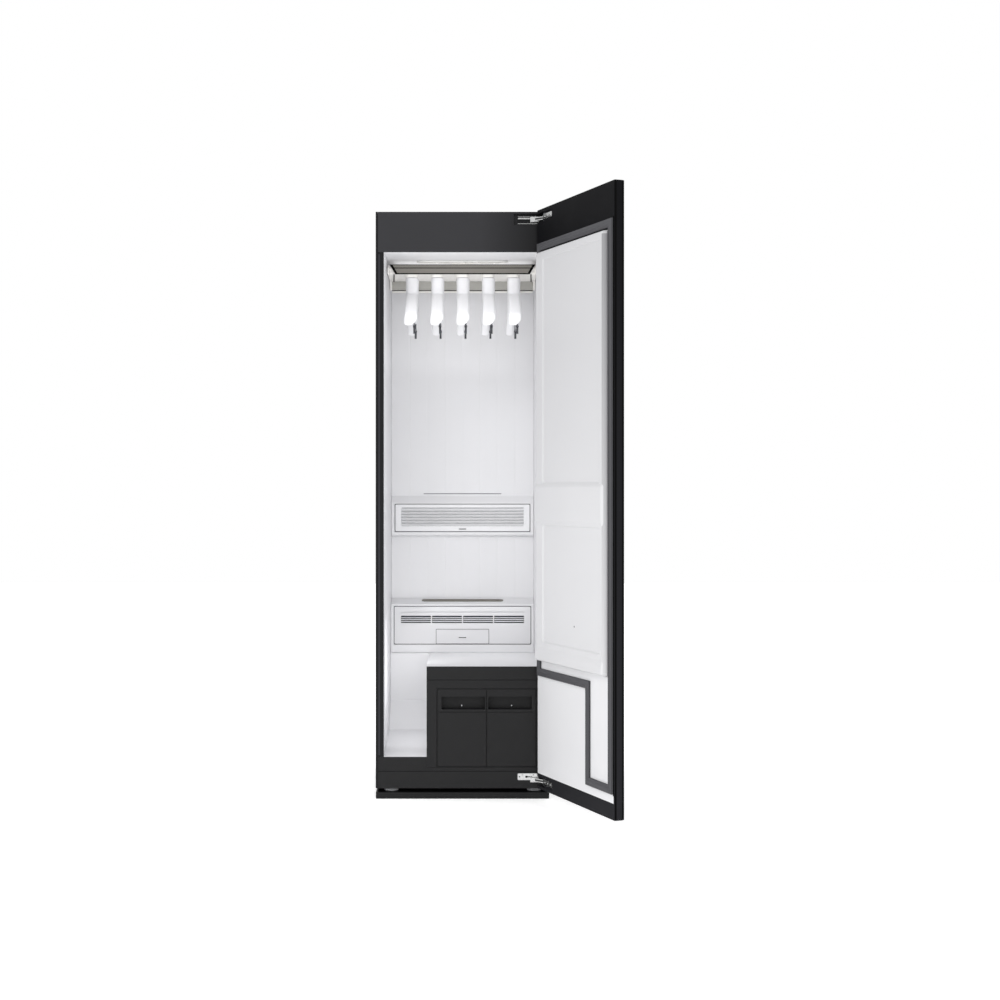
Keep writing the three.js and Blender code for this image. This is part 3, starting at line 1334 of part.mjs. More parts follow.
const hingeSeats = [
  { z: hingeHeights[0], plateZ: hingeHeights[0] + hingePlateRise, back: frontY - fitGap },
  { z: hingeHeights[1], plateZ: hingeHeights[1], back: frontY + hingeRecessDepth - fitGap },
];

function hingeArm({ z, plateZ, back }) {
  const front = doorInner + hingeArmClearance;
  const root = back - hingePlateThick;
  const plate = block([hingePlateLeft, hingePlateRight], [root, back],
    [plateZ - hingePlateHeight / 2, plateZ + hingePlateHeight / 2]);
  const screw = rodAlongY(hingeScrewRadius, [back - overrun, back + overrun], fewSides);
  const screws = screwShares.map((share) => screw.clone()
    .translate(hingePlateLeft + (hingePlateRight - hingePlateLeft) * share, 0, plateZ + hingeScrewRise));
  const damper = rodAlongX(damperRadius, [hingePlateLeft, hingePlateRight - hingeArmWidth])
    .translate(0, root - damperRadius / 2, plateZ - hingeScrewRise);
  const height = [z - hingeArmThick / 2, z + hingeArmThick / 2];
  const footY = [front, root + hingePlateThick / 2];
  const foot = block([hingePlateRight - hingeArmBase, hingePlateRight], footY, height);
  const start = new THREE.Vector2(hingePlateRight - hingeArmWidth, front + hingePlateThick / 2);
  const reach = new THREE.Vector2(hingeX, hingeY).sub(start);
  const aside = new THREE.Vector2(-reach.y, reach.x).setLength(hingeArmWidth / 2);
  const bar = [start.clone().add(aside), start.clone().sub(aside),
    start.clone().add(reach).sub(aside), start.clone().add(reach).add(aside)];
  const knuckle = rod(hingeKnuckle, height).translate(hingeX, hingeY, 0);
  const hole = rod(hingePinRadius + fitGap, [height[0] - overrun, height[1] + overrun])
    .translate(hingeX, hingeY, 0);
  return cut(join(plate, damper, foot, alongZ(new THREE.Shape(bar), height), knuckle), ...screws, hole);
}

// A leaf let into the door, two ears round the arm's knuckle and the pin riveted through them
function doorHingeBracket(z) {
  const earInner = hingeArmThick / 2 + fitGap;
  const earOuter = earInner + hingeEarThick;
  const leaf = block([leafLeft, leafRight], [doorInner - hingeLeafThick, doorInner],
    [z - hingeLeafHeight / 2, z + hingeLeafHeight / 2]);
  const screw = rodAlongY(hingeScrewRadius, [doorInner - overrun, doorInner + overrun], fewSides);
  const holes = screwShares.map((share) => screw.clone()
    .translate(leafLeft + (notchLeft - leafLeft) * share, 0, z));
  const plan = [[notchLeft + fitGap, doorInner], [notchLeft + fitGap, doorInner - hingeEarDrop],
    [hingeX - hingeKnuckle, hingeY - hingeKnuckle], [hingeX + hingeKnuckle, hingeY - hingeKnuckle],
    [hingeX + hingeKnuckle, hingeY + hingeKnuckle], [hingeX - hingeKnuckle, doorInner]];
  const ears = bothSides((side) => alongZ(outline(plan), ordered(side * earInner, side * earOuter))
    .translate(0, 0, z));
  const headTop = earOuter + hingePinHeadHeight;
  const pin = turned([[0, -headTop], [hingePinHead, -headTop], [hingePinHead, -earOuter],
    [hingePinRadius, -earOuter], [hingePinRadius, earOuter], [hingePinHead, earOuter], [hingePinHead, headTop],
    [0, headTop]]).translate(hingeX, hingeY, z);
  return join(cut(leaf, ...holes), ...ears, pin);
}

// Assembly

add(cabinet, 'plinth_tray', plinthTray(), blackCoat);
add(cabinet, 'chassis_with_feet', chassisWithFeet(), blackCoat);
add(cabinet, 'side_panel_left', sidePanel(-1), blackCoat);
add(cabinet, 'side_panel_right', sidePanel(1), blackCoat);
add(cabinet, 'top_panel', topPanel(), blackCoat);
add(cabinet, 'rear_panel', rearPanel(), zincSteel);
add(cabinet, 'rear_service_cover', rearServiceCover(), zincSteel);
add(cabinet, 'header_panel', headerPanel(), blackCoat);
add(cabinet, 'front_stile_left', frontStile(-1), blackCoat);
add(cabinet, 'front_stile_right', frontStile(1), blackCoat);
add(cabinet, 'front_sill', frontSill(), blackMoulding);
add(cabinet, 'tank_bay_fascia', tankFascia(), blackMoulding);
add(cabinet, 'tank_bay_tub', tankBayTub(), blackMoulding);
add(cabinet, 'chamber_wall_left', chamberWall(-1), whiteLiner);
add(cabinet, 'chamber_wall_right', chamberWall(1), whiteLiner);
add(cabinet, 'chamber_back_wall', chamberBackWall(), whiteLiner);
add(cabinet, 'chamber_ceiling', chamberCeiling(), whiteLiner);
add(cabinet, 'chamber_floor', chamberFloor(), whiteLiner);
add(cabinet, 'leg_well', legWell(), whiteLiner);
add(cabinet, 'upper_duct_housing', upperDuctHousing(), whiteLiner);
add(cabinet, 'upper_vent_panel', upperVentPanel(), whiteMoulding);
add(cabinet, 'lower_duct_housing', lowerDuctHousing(), whiteLiner);
add(cabinet, 'lower_vent_panel', lowerVentPanel(), whiteMoulding);
add(cabinet, 'fragrance_cartridge', fragranceCartridge(), whiteMoulding);
add(cabinet, 'air_intake_trim', airIntakeTrim(), taupeMoulding);
add(cabinet, 'ceiling_lamp', ceilingLamp(), lampLens);
add(cabinet, 'rail_front_beam', railFrontBeam(), taupeMoulding);
add(cabinet, 'rail_frame', railFrame(), taupeMoulding);
add(cabinet, 'nozzle_plenum', nozzlePlenum(), creamMoulding);

hangerPlaces.forEach((x, i) => {
  const stand = new THREE.Group();
  stand.position.set(x, hangerY, 0);
  stand.rotation.z = hangerTurnShare;
  add(stand, `air_hanger_${i + 1}`, airHanger(), whiteMoulding);
  add(stand, `trouser_bar_${i + 1}`, trouserBar(), brightSteel);
  cabinet.add(stand);
});

[['supply', -1], ['drain', 1]].forEach(([use, side], i) => {
  add(cabinet, `${use}_tank_tub`, tankTub(tankLefts[i]), smokedTank);
  add(cabinet, `${use}_tank_cover`, tankCover(tankLefts[i], side), blackMoulding);
});

add(cabinet, 'blower_housing', blowerHousing(), greyMoulding);
add(cabinet, 'blower_wheel', blowerWheel().translate(0, blowerY, blowerZ), greyMoulding);
add(cabinet, 'blower_motor', blowerMotor(), zincSteel);
add(cabinet, 'control_board', controlBoard(), boardGreen);
add(cabinet, 'compressor', compressor(), blackCoat);
add(cabinet, 'heat_exchanger', heatExchanger(), finAluminium);
add(cabinet, 'steam_generator', steamGenerator(), greyMoulding);
['lower', 'upper'].forEach((place, i) => {
  add(cabinet, `${place}_hinge_arm`, hingeArm(hingeSeats[i]), brightSteel);
  add(door, `${place}_hinge_bracket`, onDoor(doorHingeBracket(hingeHeights[i])), brightSteel);
});

add(door, 'door_glass', onDoor(doorGlassPanel()), blackGlass);
add(door, 'door_frame', onDoor(doorFrame()), blackCoat);
add(door, 'door_liner', onDoor(doorLiner()), whiteLiner);
add(door, 'door_lower_panel', onDoor(lowerDoorPanel()), whiteLiner);
add(door, 'door_gasket', onDoor(doorGasket()), gasketRubber);
door.position.set(hingeX, hingeY, 0);
door.rotation.z = THREE.MathUtils.degToRad(doorAngle);
cabinet.add(door);

export default cabinet;
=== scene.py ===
# Clothes care steam cabinet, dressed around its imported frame. Sizes are in millimetres unless a note says so.
import json
import math
import bmesh
import bpy
from mathutils import Matrix, Vector

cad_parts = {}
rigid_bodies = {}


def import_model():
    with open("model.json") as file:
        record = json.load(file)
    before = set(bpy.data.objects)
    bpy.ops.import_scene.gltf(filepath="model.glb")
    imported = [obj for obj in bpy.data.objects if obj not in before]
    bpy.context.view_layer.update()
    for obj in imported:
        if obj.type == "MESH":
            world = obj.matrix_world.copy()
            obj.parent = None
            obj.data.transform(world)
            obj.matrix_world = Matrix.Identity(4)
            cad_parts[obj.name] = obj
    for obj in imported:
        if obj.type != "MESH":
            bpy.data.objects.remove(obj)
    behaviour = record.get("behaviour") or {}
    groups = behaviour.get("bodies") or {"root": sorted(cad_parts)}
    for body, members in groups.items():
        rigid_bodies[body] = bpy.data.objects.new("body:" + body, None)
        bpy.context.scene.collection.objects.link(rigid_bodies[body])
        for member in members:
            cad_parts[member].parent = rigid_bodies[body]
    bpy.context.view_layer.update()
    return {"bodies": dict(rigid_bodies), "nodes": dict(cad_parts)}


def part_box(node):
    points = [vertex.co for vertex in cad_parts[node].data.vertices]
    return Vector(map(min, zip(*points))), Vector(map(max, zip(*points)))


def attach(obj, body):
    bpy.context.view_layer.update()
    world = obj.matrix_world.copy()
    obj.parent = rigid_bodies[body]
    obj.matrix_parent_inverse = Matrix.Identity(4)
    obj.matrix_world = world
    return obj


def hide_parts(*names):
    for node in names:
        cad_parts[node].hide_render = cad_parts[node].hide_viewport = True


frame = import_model()

unit = 0.001                       # metres in a millimetre
fitGap = 0.3                       # clearance between neighbours
overcut = 2                        # how far a cutting shape reaches past the face that it enters
bodyOf = {node: name for name, empty in frame["bodies"].items()
          for node, piece in frame["nodes"].items() if piece.parent is empty}
print("frame loaded:", len(frame["nodes"]), "nodes")


def boxOf(node):
    low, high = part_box(node)
    return [(low[i] / unit, high[i] / unit) for i in range(3)]


# Camera at the photograph's angle: straight on, at eye height

view = {
    "eye": (0, -5640, 1031),       # where the lens stands
    "focalPixels": 1600.8,         # focal length in pixels of the square image
    "imageSize": 1000,
    "principal": (462.5, 490),     # pixel that the lens axis meets
    "sensorWidth": 36,
}


def makeCamera():
    lens = bpy.data.cameras.new("frontCamera")
    lens.sensor_width = view["sensorWidth"]
    lens.sensor_fit = "HORIZONTAL"
    lens.lens = view["sensorWidth"] * view["focalPixels"] / view["imageSize"]
    lens.shift_x = 0.5 - view["principal"][0] / view["imageSize"]
    lens.shift_y = view["principal"][1] / view["imageSize"] - 0.5
    lens.clip_end = 60             # metres
    camera = bpy.data.objects.new("frontCamera", lens)
    camera.location = Vector(view["eye"]) * unit
    camera.rotation_euler = (math.radians(90), 0, 0)
    bpy.context.collection.objects.link(camera)
    bpy.context.scene.camera = camera


makeCamera()


# Materials

def linear(hexCode):
    parts = [int(hexCode[i:i + 2], 16) / 255 for i in (1, 3, 5)]
    return (*[c / 12.92 if c <= 0.04045 else ((c + 0.055) / 1.055) ** 2.4 for c in parts], 1)


def addNode(tree, kind, links=None, **settings):
    node = tree.nodes.new(kind)
    for key, value in settings.items():
        setattr(node, key, value)
    for key, value in (links or {}).items():
        socket = node.inputs[key]
        if isinstance(value, bpy.types.NodeSocket):
            tree.links.new(value, socket)
        else:
            socket.default_value = value
    return node


def perMetre(size):                # texture scale whose features are about this many millimetres
    return 1 / (size * unit)


def emptyMaterial(name):
    material = bpy.data.materials.new(name)
    material.use_nodes = True
    material.node_tree.nodes.clear()
    return material, material.node_tree


# Noise clouds tint the colour and the gloss; a finer noise raises the grain
def surfaceFinish(name, look):
    material, tree = emptyMaterial(name)
    place = addNode(tree, "ShaderNodeTexCoord").outputs["Object"]
    cloud = addNode(tree, "ShaderNodeTexNoise", {
        "Vector": place, "Scale": perMetre(look["cloud"]), "Detail": 3, "Roughness": 0.55})
    colour = addNode(tree, "ShaderNodeMix", {
        "Factor": cloud.outputs["Fac"], "A": linear(look["colour"]), "B": linear(look["tint"])},
        data_type="RGBA")
    if "paintedLightRamp" in look:                 # a second colour taken up along one axis: painted light and shade along a face
        paintedRampColour, axis, span = look["paintedLightRamp"]
        along = addNode(tree, "ShaderNodeSeparateXYZ", {"Vector": place}).outputs[axis]
        share = addNode(tree, "ShaderNodeMapRange", {
            "Value": along, "From Min": span[0] * unit, "From Max": span[1] * unit})
        colour = addNode(tree, "ShaderNodeMix", {
            "Factor": share.outputs["Result"], "A": colour.outputs["Result"], "B": linear(paintedRampColour)},
            data_type="RGBA")
    gloss = addNode(tree, "ShaderNodeMapRange", {
        "Value": cloud.outputs["Fac"], "From Min": 0.3, "From Max": 0.7,
        "To Min": look["roughness"][0], "To Max": look["roughness"][1]})
    grain = addNode(tree, "ShaderNodeTexNoise", {
        "Vector": place, "Scale": perMetre(look["grain"]), "Detail": 2, "Roughness": 0.5})
    bump = addNode(tree, "ShaderNodeBump", {
        "Height": grain.outputs["Fac"], "Strength": look["bump"], "Distance": look["height"] * unit})
    shader = addNode(tree, "ShaderNodeBsdfPrincipled", {
        "Base Color": colour.outputs["Result"], "Roughness": gloss.outputs["Result"],
        "Normal": bump.outputs["Normal"], "Metallic": look.get("metallic", 0),
        "IOR": look.get("ior", 1.5), "Specular IOR Level": look.get("specular", 0.5),
        "Coat Weight": look.get("coat", 0), "Coat Roughness": look.get("coatRoughness", 0.1)})
    if "glow" in look:
        shader.inputs["Emission Color"].default_value = linear(look["colour"])
        shader.inputs["Emission Strength"].default_value = look["glow"]
    addNode(tree, "ShaderNodeOutputMaterial", {"Surface": shader.outputs["BSDF"]})
    return material


finishes = {
    # baked powder over steel sheet: satin, with a faint orange peel
    "powderCoatedSteel": {"colour": "#121214", "tint": "#18181a", "roughness": (0.38, 0.46), "cloud": 160,
                          "grain": 1.6, "bump": 0.25, "height": 0.12, "specular": 0.16},
    # the header's film: satin black with a painted sheen that makes it lighter towards its left
    "headerPaintedSheen": {"colour": "#2b2b2d", "tint": "#303033", "roughness": (0.36, 0.42), "cloud": 300,
                   "grain": 1.6, "bump": 0.15, "height": 0.1, "specular": 0.2,
                   "paintedLightRamp": ("#121214", "X", (60, 250))},
    # the door frame: the same powder, flatter, so the room hardly shows in it, and painted greyer towards its
    # foot as painted light
    "doorPowderPaintedLight": {"colour": "#1f1f22", "tint": "#232326", "roughness": (0.58, 0.66), "cloud": 160,
                   "grain": 1.2, "bump": 0.25, "height": 0.1, "specular": 0.05,
                   "paintedLightRamp": ("#0f0f11", "Z", (100, 1900))},
    # powder painted lighter with a bluish cast on the stile's raised bead: a painted highlight
    "beadPaintedHighlight": {"colour": "#27272c", "tint": "#2b2b30", "roughness": (0.4, 0.5), "cloud": 160,
                   "grain": 1.6, "bump": 0.2, "height": 0.1, "specular": 0.2},
    # near-black that paints the shadow in joints and channels: almost no light comes back
    "jointPaintedShadow": {"colour": "#050505", "tint": "#0a0a0a", "roughness": (0.85, 0.95), "cloud": 12,
                  "grain": 0.8, "bump": 0.4, "height": 0.2, "specular": 0.05},
    # the door moulding's sheet: painted shade, a shade deeper than the chamber's and deeper again towards its
    # top
    "doorLinerPaintedShade": {"colour": "#cacacc", "tint": "#cfcfd1", "roughness": (0.42, 0.5), "cloud": 260,
                  "grain": 22, "bump": 0.1, "height": 0.4, "specular": 0.3,
                  "paintedLightRamp": ("#c0c0c2", "Z", (900, 1500))},
    # the moulding's edge strip: painted shade on the liner's wall, grey that pales towards its foot
    "edgeStripPaintedShade": {"colour": "#c0c0c2", "tint": "#c5c5c7", "roughness": (0.5, 0.6), "cloud": 120,
                  "grain": 3, "bump": 0.1, "height": 0.1, "specular": 0.2,
                  "paintedLightRamp": ("#8b8b8d", "Z", (420, 1800))},
    # calendered white sheet of the door's lower panel
    "calenderedSheet": {"colour": "#d9d9db", "tint": "#dddddf", "roughness": (0.36, 0.44), "cloud": 220,
                        "grain": 14, "bump": 0.06, "height": 0.3, "specular": 0.35},
    # black ABS from a spark-eroded mould: an even matt grain
    "texturedBlackAbs": {"colour": "#161617", "tint": "#1c1c1d", "roughness": (0.44, 0.54), "cloud": 90,
                         "grain": 0.7, "bump": 0.3, "height": 0.1, "specular": 0.22},
    # vacuum-formed polystyrene sheet: semi-matt white with a very slow waviness
    "thermoformedLiner": {"colour": "#d8d8da", "tint": "#dddddf", "roughness": (0.42, 0.5), "cloud": 260,
                          "grain": 22, "bump": 0.1, "height": 0.4, "specular": 0.3},
    # injection-moulded white ABS: smoother and brighter than the liner
    "glossWhiteAbs": {"colour": "#e0e0e2", "tint": "#e3e3e5", "roughness": (0.3, 0.36), "cloud": 180,
                      "grain": 9, "bump": 0.05, "height": 0.2, "specular": 0.35},
    # a satin white painted greyer as painted shade, for the lower vent's face and the cartridge
    "whiteAbsPaintedShade": {"colour": "#d0d0d2", "tint": "#d4d4d6", "roughness": (0.4, 0.46), "cloud": 180,
                      "grain": 7, "bump": 0.08, "height": 0.2, "specular": 0.3},
    # warm grey moulded trim with a fine eggshell grain
    "taupeMoulding": {"colour": "#76736d", "tint": "#7d7a74", "roughness": (0.42, 0.52), "cloud": 120,
                      "grain": 0.9, "bump": 0.25, "height": 0.08, "specular": 0.3},
    # the same trim painted paler at the rail's rear: painted light
    "taupePaintedLight": {"colour": "#b7b6b1", "tint": "#bebdb8", "roughness": (0.42, 0.52), "cloud": 120,
                          "grain": 0.9, "bump": 0.25, "height": 0.08, "specular": 0.3},
    # cream nozzle moulding, eggshell too
    "creamMoulding": {"colour": "#f0eeea", "tint": "#f4f2ef", "roughness": (0.4, 0.52), "cloud": 120,
                      "grain": 0.9, "bump": 0.2, "height": 0.08},
    # opal acrylic diffuser, softly lit from inside
    "opalAcrylic": {"colour": "#e2e2e0", "tint": "#dededc", "roughness": (0.2, 0.3), "cloud": 40,
                    "grain": 4, "bump": 0.05, "height": 0.1, "ior": 1.49, "glow": 0.05},
    # extruded seal of grey thermoplastic rubber: dull, slightly chalky
    "sealRubber": {"colour": "#47474a", "tint": "#505053", "roughness": (0.6, 0.75), "cloud": 35,
                   "grain": 1.2, "bump": 0.3, "height": 0.1, "specular": 0.2},
    # grey that paints the shadow in the joint round the removable panels, and the real grey of their pull tabs
    "tabGreyAndJointShadow": {"colour": "#48484b", "tint": "#515154", "roughness": (0.6, 0.7), "cloud": 40,
                    "grain": 1.2, "bump": 0.2, "height": 0.08, "specular": 0.2},
    # spun-bonded filter sheet: matt grey with a fibre nap
    "filterFleece": {"colour": "#3c3d40", "tint": "#47484b", "roughness": (0.85, 0.95), "cloud": 3,
                     "grain": 0.5, "bump": 0.6, "height": 0.3, "specular": 0.1},
    # grey pleated filter paper behind the upper louvre
    "filterPaper": {"colour": "#55565a", "tint": "#606165", "roughness": (0.85, 0.95), "cloud": 8,
                    "grain": 0.6, "bump": 0.5, "height": 0.2, "specular": 0.1},
    # glass-filled nylon: grey with fibre flecks in the gloss
    "glassFilledNylon": {"colour": "#8d8f91", "tint": "#9b9d9f", "roughness": (0.45, 0.65), "cloud": 6,
                         "grain": 1.1, "bump": 0.3, "height": 0.12},
    # stoved black enamel of a hermetic compressor
    "stovedEnamel": {"colour": "#151517", "tint": "#1c1c1e", "roughness": (0.25, 0.4), "cloud": 45,
                     "grain": 2.5, "bump": 0.3, "height": 0.2, "coat": 0.3},
    # grey polypropylene of the feet and the tanks' level dots
    "greyPolypropylene": {"colour": "#b9babd", "tint": "#c2c3c6", "roughness": (0.5, 0.62), "cloud": 30,
                          "grain": 1.0, "bump": 0.25, "height": 0.1},
    # mill-finish aluminium fins, dulled by handling
    "millAluminium": {"colour": "#c3c6c8", "tint": "#d2d4d6", "roughness": (0.32, 0.48), "cloud": 18,
                      "grain": 1.4, "bump": 0.15, "height": 0.06, "metallic": 1},
    # nickel-plated steel stampings: bright, with soft drawing marks
    "nickelPlatedSteel": {"colour": "#bfc0c1", "tint": "#d2d2d1", "roughness": (0.2, 0.32), "cloud": 14,
                          "grain": 2.2, "bump": 0.08, "height": 0.05, "metallic": 1},
    # chrome of the trouser bars, darkened as a painted reflection of their dark surroundings
    "chromePaintedReflection": {"colour": "#55565a", "tint": "#66676b", "roughness": (0.18, 0.28), "cloud": 14,
                     "grain": 2.2, "bump": 0.06, "height": 0.05, "metallic": 1},
    # copper pipe, lightly oxidised
    "drawnCopper": {"colour": "#b4704a", "tint": "#c98660", "roughness": (0.25, 0.42), "cloud": 12,
                    "grain": 1.6, "bump": 0.12, "height": 0.06, "metallic": 1},
}
shades = {name: surfaceFinish(name, look) for name, look in finishes.items()}


# Hot-dip zinc: flat crystals a few millimetres across that each catch the light a little differently
def zincSpangle():
    look = {"crystal": 9, "scratch": 1.3, "colour": "#a4a7a9", "tint": "#bcbfc0"}
    material, tree = emptyMaterial("zincCoatedSheet")
    place = addNode(tree, "ShaderNodeTexCoord").outputs["Object"]
    crystal = addNode(tree, "ShaderNodeTexVoronoi", {
        "Vector": place, "Scale": perMetre(look["crystal"]), "Randomness": 1})
    shade = addNode(tree, "ShaderNodeSeparateColor", {"Color": crystal.outputs["Color"]})
    colour = addNode(tree, "ShaderNodeMix", {
        "Factor": shade.outputs["Red"], "A": linear(look["colour"]), "B": linear(look["tint"])},
        data_type="RGBA")
    gloss = addNode(tree, "ShaderNodeMapRange", {
        "Value": shade.outputs["Green"], "To Min": 0.34, "To Max": 0.52})
    scratch = addNode(tree, "ShaderNodeTexNoise", {"Vector": place, "Scale": perMetre(look["scratch"])})
    bump = addNode(tree, "ShaderNodeBump", {
        "Height": scratch.outputs["Fac"], "Strength": 0.1, "Distance": 0.05 * unit})
    shader = addNode(tree, "ShaderNodeBsdfPrincipled", {
        "Base Color": colour.outputs["Result"], "Roughness": gloss.outputs["Result"],
        "Normal": bump.outputs["Normal"], "Metallic": 1})
    addNode(tree, "ShaderNodeOutputMaterial", {"Surface": shader.outputs["BSDF"]})
    return material


# Toughened glass painted black behind: the paint is flat, the glass over it mirrors
def backPaintedGlass():
    look = {"smear": 180, "paint": "#0b0b0d", "paintTint": "#101012"}
    material, tree = emptyMaterial("backPaintedGlass")
    place = addNode(tree, "ShaderNodeTexCoord").outputs["Object"]
    smear = addNode(tree, "ShaderNodeTexNoise", {
        "Vector": place, "Scale": perMetre(look["smear"]), "Detail": 4, "Distortion": 0.6})
    colour = addNode(tree, "ShaderNodeMix", {
        "Factor": smear.outputs["Fac"], "A": linear(look["paint"]), "B": linear(look["paintTint"])},
        data_type="RGBA")
    gloss = addNode(tree, "ShaderNodeMapRange", {
        "Value": smear.outputs["Fac"], "From Min": 0.35, "From Max": 0.75, "To Min": 0.03, "To Max": 0.1})
    shader = addNode(tree, "ShaderNodeBsdfPrincipled", {
        "Base Color": colour.outputs["Result"], "Roughness": gloss.outputs["Result"], "IOR": 1.52,
        "Coat Weight": 0.6, "Coat Roughness": 0.03})
    addNode(tree, "ShaderNodeOutputMaterial", {"Surface": shader.outputs["BSDF"]})
    return material


# Smoked polycarbonate: dark, and partly clear
def smokedPolycarbonate():
    look = {"flow": 60, "colour": "#4d5258", "tint": "#5b6067"}
    material, tree = emptyMaterial("smokedPolycarbonate")
    place = addNode(tree, "ShaderNodeTexCoord").outputs["Object"]
    flow = addNode(tree, "ShaderNodeTexNoise", {"Vector": place, "Scale": perMetre(look["flow"])})
    colour = addNode(tree, "ShaderNodeMix", {
        "Factor": flow.outputs["Fac"], "A": linear(look["colour"]), "B": linear(look["tint"])},
        data_type="RGBA")
    gloss = addNode(tree, "ShaderNodeMapRange", {
        "Value": flow.outputs["Fac"], "To Min": 0.06, "To Max": 0.2})
    shader = addNode(tree, "ShaderNodeBsdfPrincipled", {
        "Base Color": colour.outputs["Result"], "Roughness": gloss.outputs["Result"], "IOR": 1.58,
        "Transmission Weight": 0.55})
    addNode(tree, "ShaderNodeOutputMaterial", {"Surface": shader.outputs["BSDF"]})
    return material


# Green solder mask over copper tracks: the tracks show as lighter lines under the lacquer
def solderMask():
    look = {"track": 5, "colour": "#174a2b", "tint": "#2c6b41"}
    material, tree = emptyMaterial("solderMask")
    place = addNode(tree, "ShaderNodeTexCoord").outputs["Object"]
    track = addNode(tree, "ShaderNodeTexBrick", {
        "Vector": place, "Color1": (0, 0, 0, 1), "Color2": (0.2, 0.2, 0.2, 1), "Mortar": (1, 1, 1, 1),
        "Scale": perMetre(look["track"] * 4), "Mortar Size": 0.02})
    colour = addNode(tree, "ShaderNodeMix", {
        "Factor": track.outputs["Color"], "A": linear(look["colour"]), "B": linear(look["tint"])},
        data_type="RGBA")
    bump = addNode(tree, "ShaderNodeBump", {
        "Height": track.outputs["Color"], "Strength": 0.3, "Distance": 0.05 * unit})
    shader = addNode(tree, "ShaderNodeBsdfPrincipled", {
        "Base Color": colour.outputs["Result"], "Roughness": 0.3, "Normal": bump.outputs["Normal"]})
    addNode(tree, "ShaderNodeOutputMaterial", {"Surface": shader.outputs["BSDF"]})
    return material


shades["zincCoatedSheet"] = zincSpangle()
shades["backPaintedGlass"] = backPaintedGlass()
shades["smokedPolycarbonate"] = smokedPolycarbonate()
shades["solderMask"] = solderMask()
print("materials made:", len(shades))


# Shapes as (points, faces) in millimetres

def blockShape(spanX, spanY, spanZ):
    points = [(x, y, z) for x in spanX for y in spanY for z in spanZ]
    faces = [(0, 1, 3, 2), (4, 6, 7, 5), (0, 4, 5, 1), (2, 3, 7, 6), (0, 2, 6, 4), (1, 5, 7, 3)]
    return points, faces


def loftShape(rings, closed=True):
    count = len(rings[0])
    points = [tuple(p) for ring in rings for p in ring]
    faces = []
    for ring in range(len(rings) - 1 if closed else len(rings)):
        low = ring * count
        high = (ring + 1) % len(rings) * count
        for i in range(count):
            faces.append((low + i, low + (i + 1) % count, high + (i + 1) % count, high + i))
    if closed:
        faces.append(tuple(reversed(range(count))))
        faces.append(tuple(range((len(rings) - 1) * count, len(rings) * count)))
    return points, faces


def lifted(outline, along, axis):        # an outline in the other two axes, in the order x, y, z
    return [[(along, a, b), (a, along, b), (a, b, along)][axis] for a, b in outline]


def prismShape(outline, span, axis):
    return loftShape([lifted(outline, along, axis) for along in span])


def turnedShape(profile, centre, axis, sides=32):   # profile of (radius, along) pairs, off the axis
    rings = []
    for radius, along in profile:
        ring = []
        for i in range(sides):
            angle = 2 * math.pi * i / sides
            a, b = radius * math.cos(angle), radius * math.sin(angle)
            spot = [(along, a, b), (b, along, a), (a, b, along)][axis]
            ring.append(tuple(centre[k] + spot[k] for k in range(3)))
        rings.append(ring)
    return loftShape(rings)


def roundedOutline(spanA, spanB, radius, steps=6):
    points = []
    corners = [(spanA[1] - radius, spanB[1] - radius, 0), (spanA[0] + radius, spanB[1] - radius, 1),
               (spanA[0] + radius, spanB[0] + radius, 2), (spanA[1] - radius, spanB[0] + radius, 3)]
    for a, b, quarter in corners:
        for i in range(steps + 1):
            angle = math.pi / 2 * (quarter + i / steps)
            points.append((a + radius * math.cos(angle), b + radius * math.sin(angle)))
    return points


def makePiece(name, shapes, shade, smoothAngle=35, matrix=None):
    rows = bmesh.new()
    for points, faces in shapes:
        corners = [rows.verts.new(Vector(p) * unit) for p in points]
        for face in faces:
            rows.faces.new([corners[i] for i in face])
    bmesh.ops.remove_doubles(rows, verts=rows.verts, dist=1e-6)
    bmesh.ops.recalc_face_normals(rows, faces=rows.faces)
    mesh = bpy.data.meshes.new(name)
    rows.to_mesh(mesh)
    rows.free()
    if matrix is not None:
        mesh.transform(matrix)
    mesh.materials.append(shades[shade])
    piece = bpy.data.objects.new(name, mesh)
    bpy.context.collection.objects.link(piece)
    smoothPiece(piece, smoothAngle)
    return piece


def smoothPiece(piece, angle=35):
    piece.data.shade_smooth()
    piece.data.set_sharp_from_angle(angle=math.radians(angle))


# Bakes a piece's modifiers into a plain mesh
def settle(piece):
    bpy.context.view_layer.update()
    graph = bpy.context.evaluated_depsgraph_get()
    mesh = bpy.data.meshes.new_from_object(piece.evaluated_get(graph))
    piece.modifiers.clear()
    piece.data = mesh
    return piece


def bevelled(piece, width, segments=2, angle=32):
    edge = piece.modifiers.new("edgeRadius", "BEVEL")
    edge.width = width * unit
    edge.segments = segments
    edge.limit_method = "ANGLE"
    edge.angle_limit = math.radians(angle)
    edge.use_clamp_overlap = True
    settle(piece)
    smoothPiece(piece, angle)
    even = piece.modifiers.new("evenNormals", "WEIGHTED_NORMAL")
    even.keep_sharp = True
    return settle(piece)


def carved(piece, shapes):               # cuts shapes out of a piece
    tool = makePiece(piece.name + "_tool", shapes, "texturedBlackAbs")
    cut = piece.modifiers.new("carving", "BOOLEAN")
    cut.object = tool
    cut.operation = "DIFFERENCE"
    cut.solver = "EXACT"
    settle(piece)
    bpy.data.objects.remove(tool)
    return piece


def seated(piece, body, slot, *nodes):
    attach(piece, body)
    if nodes:
        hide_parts(*nodes)
    return piece


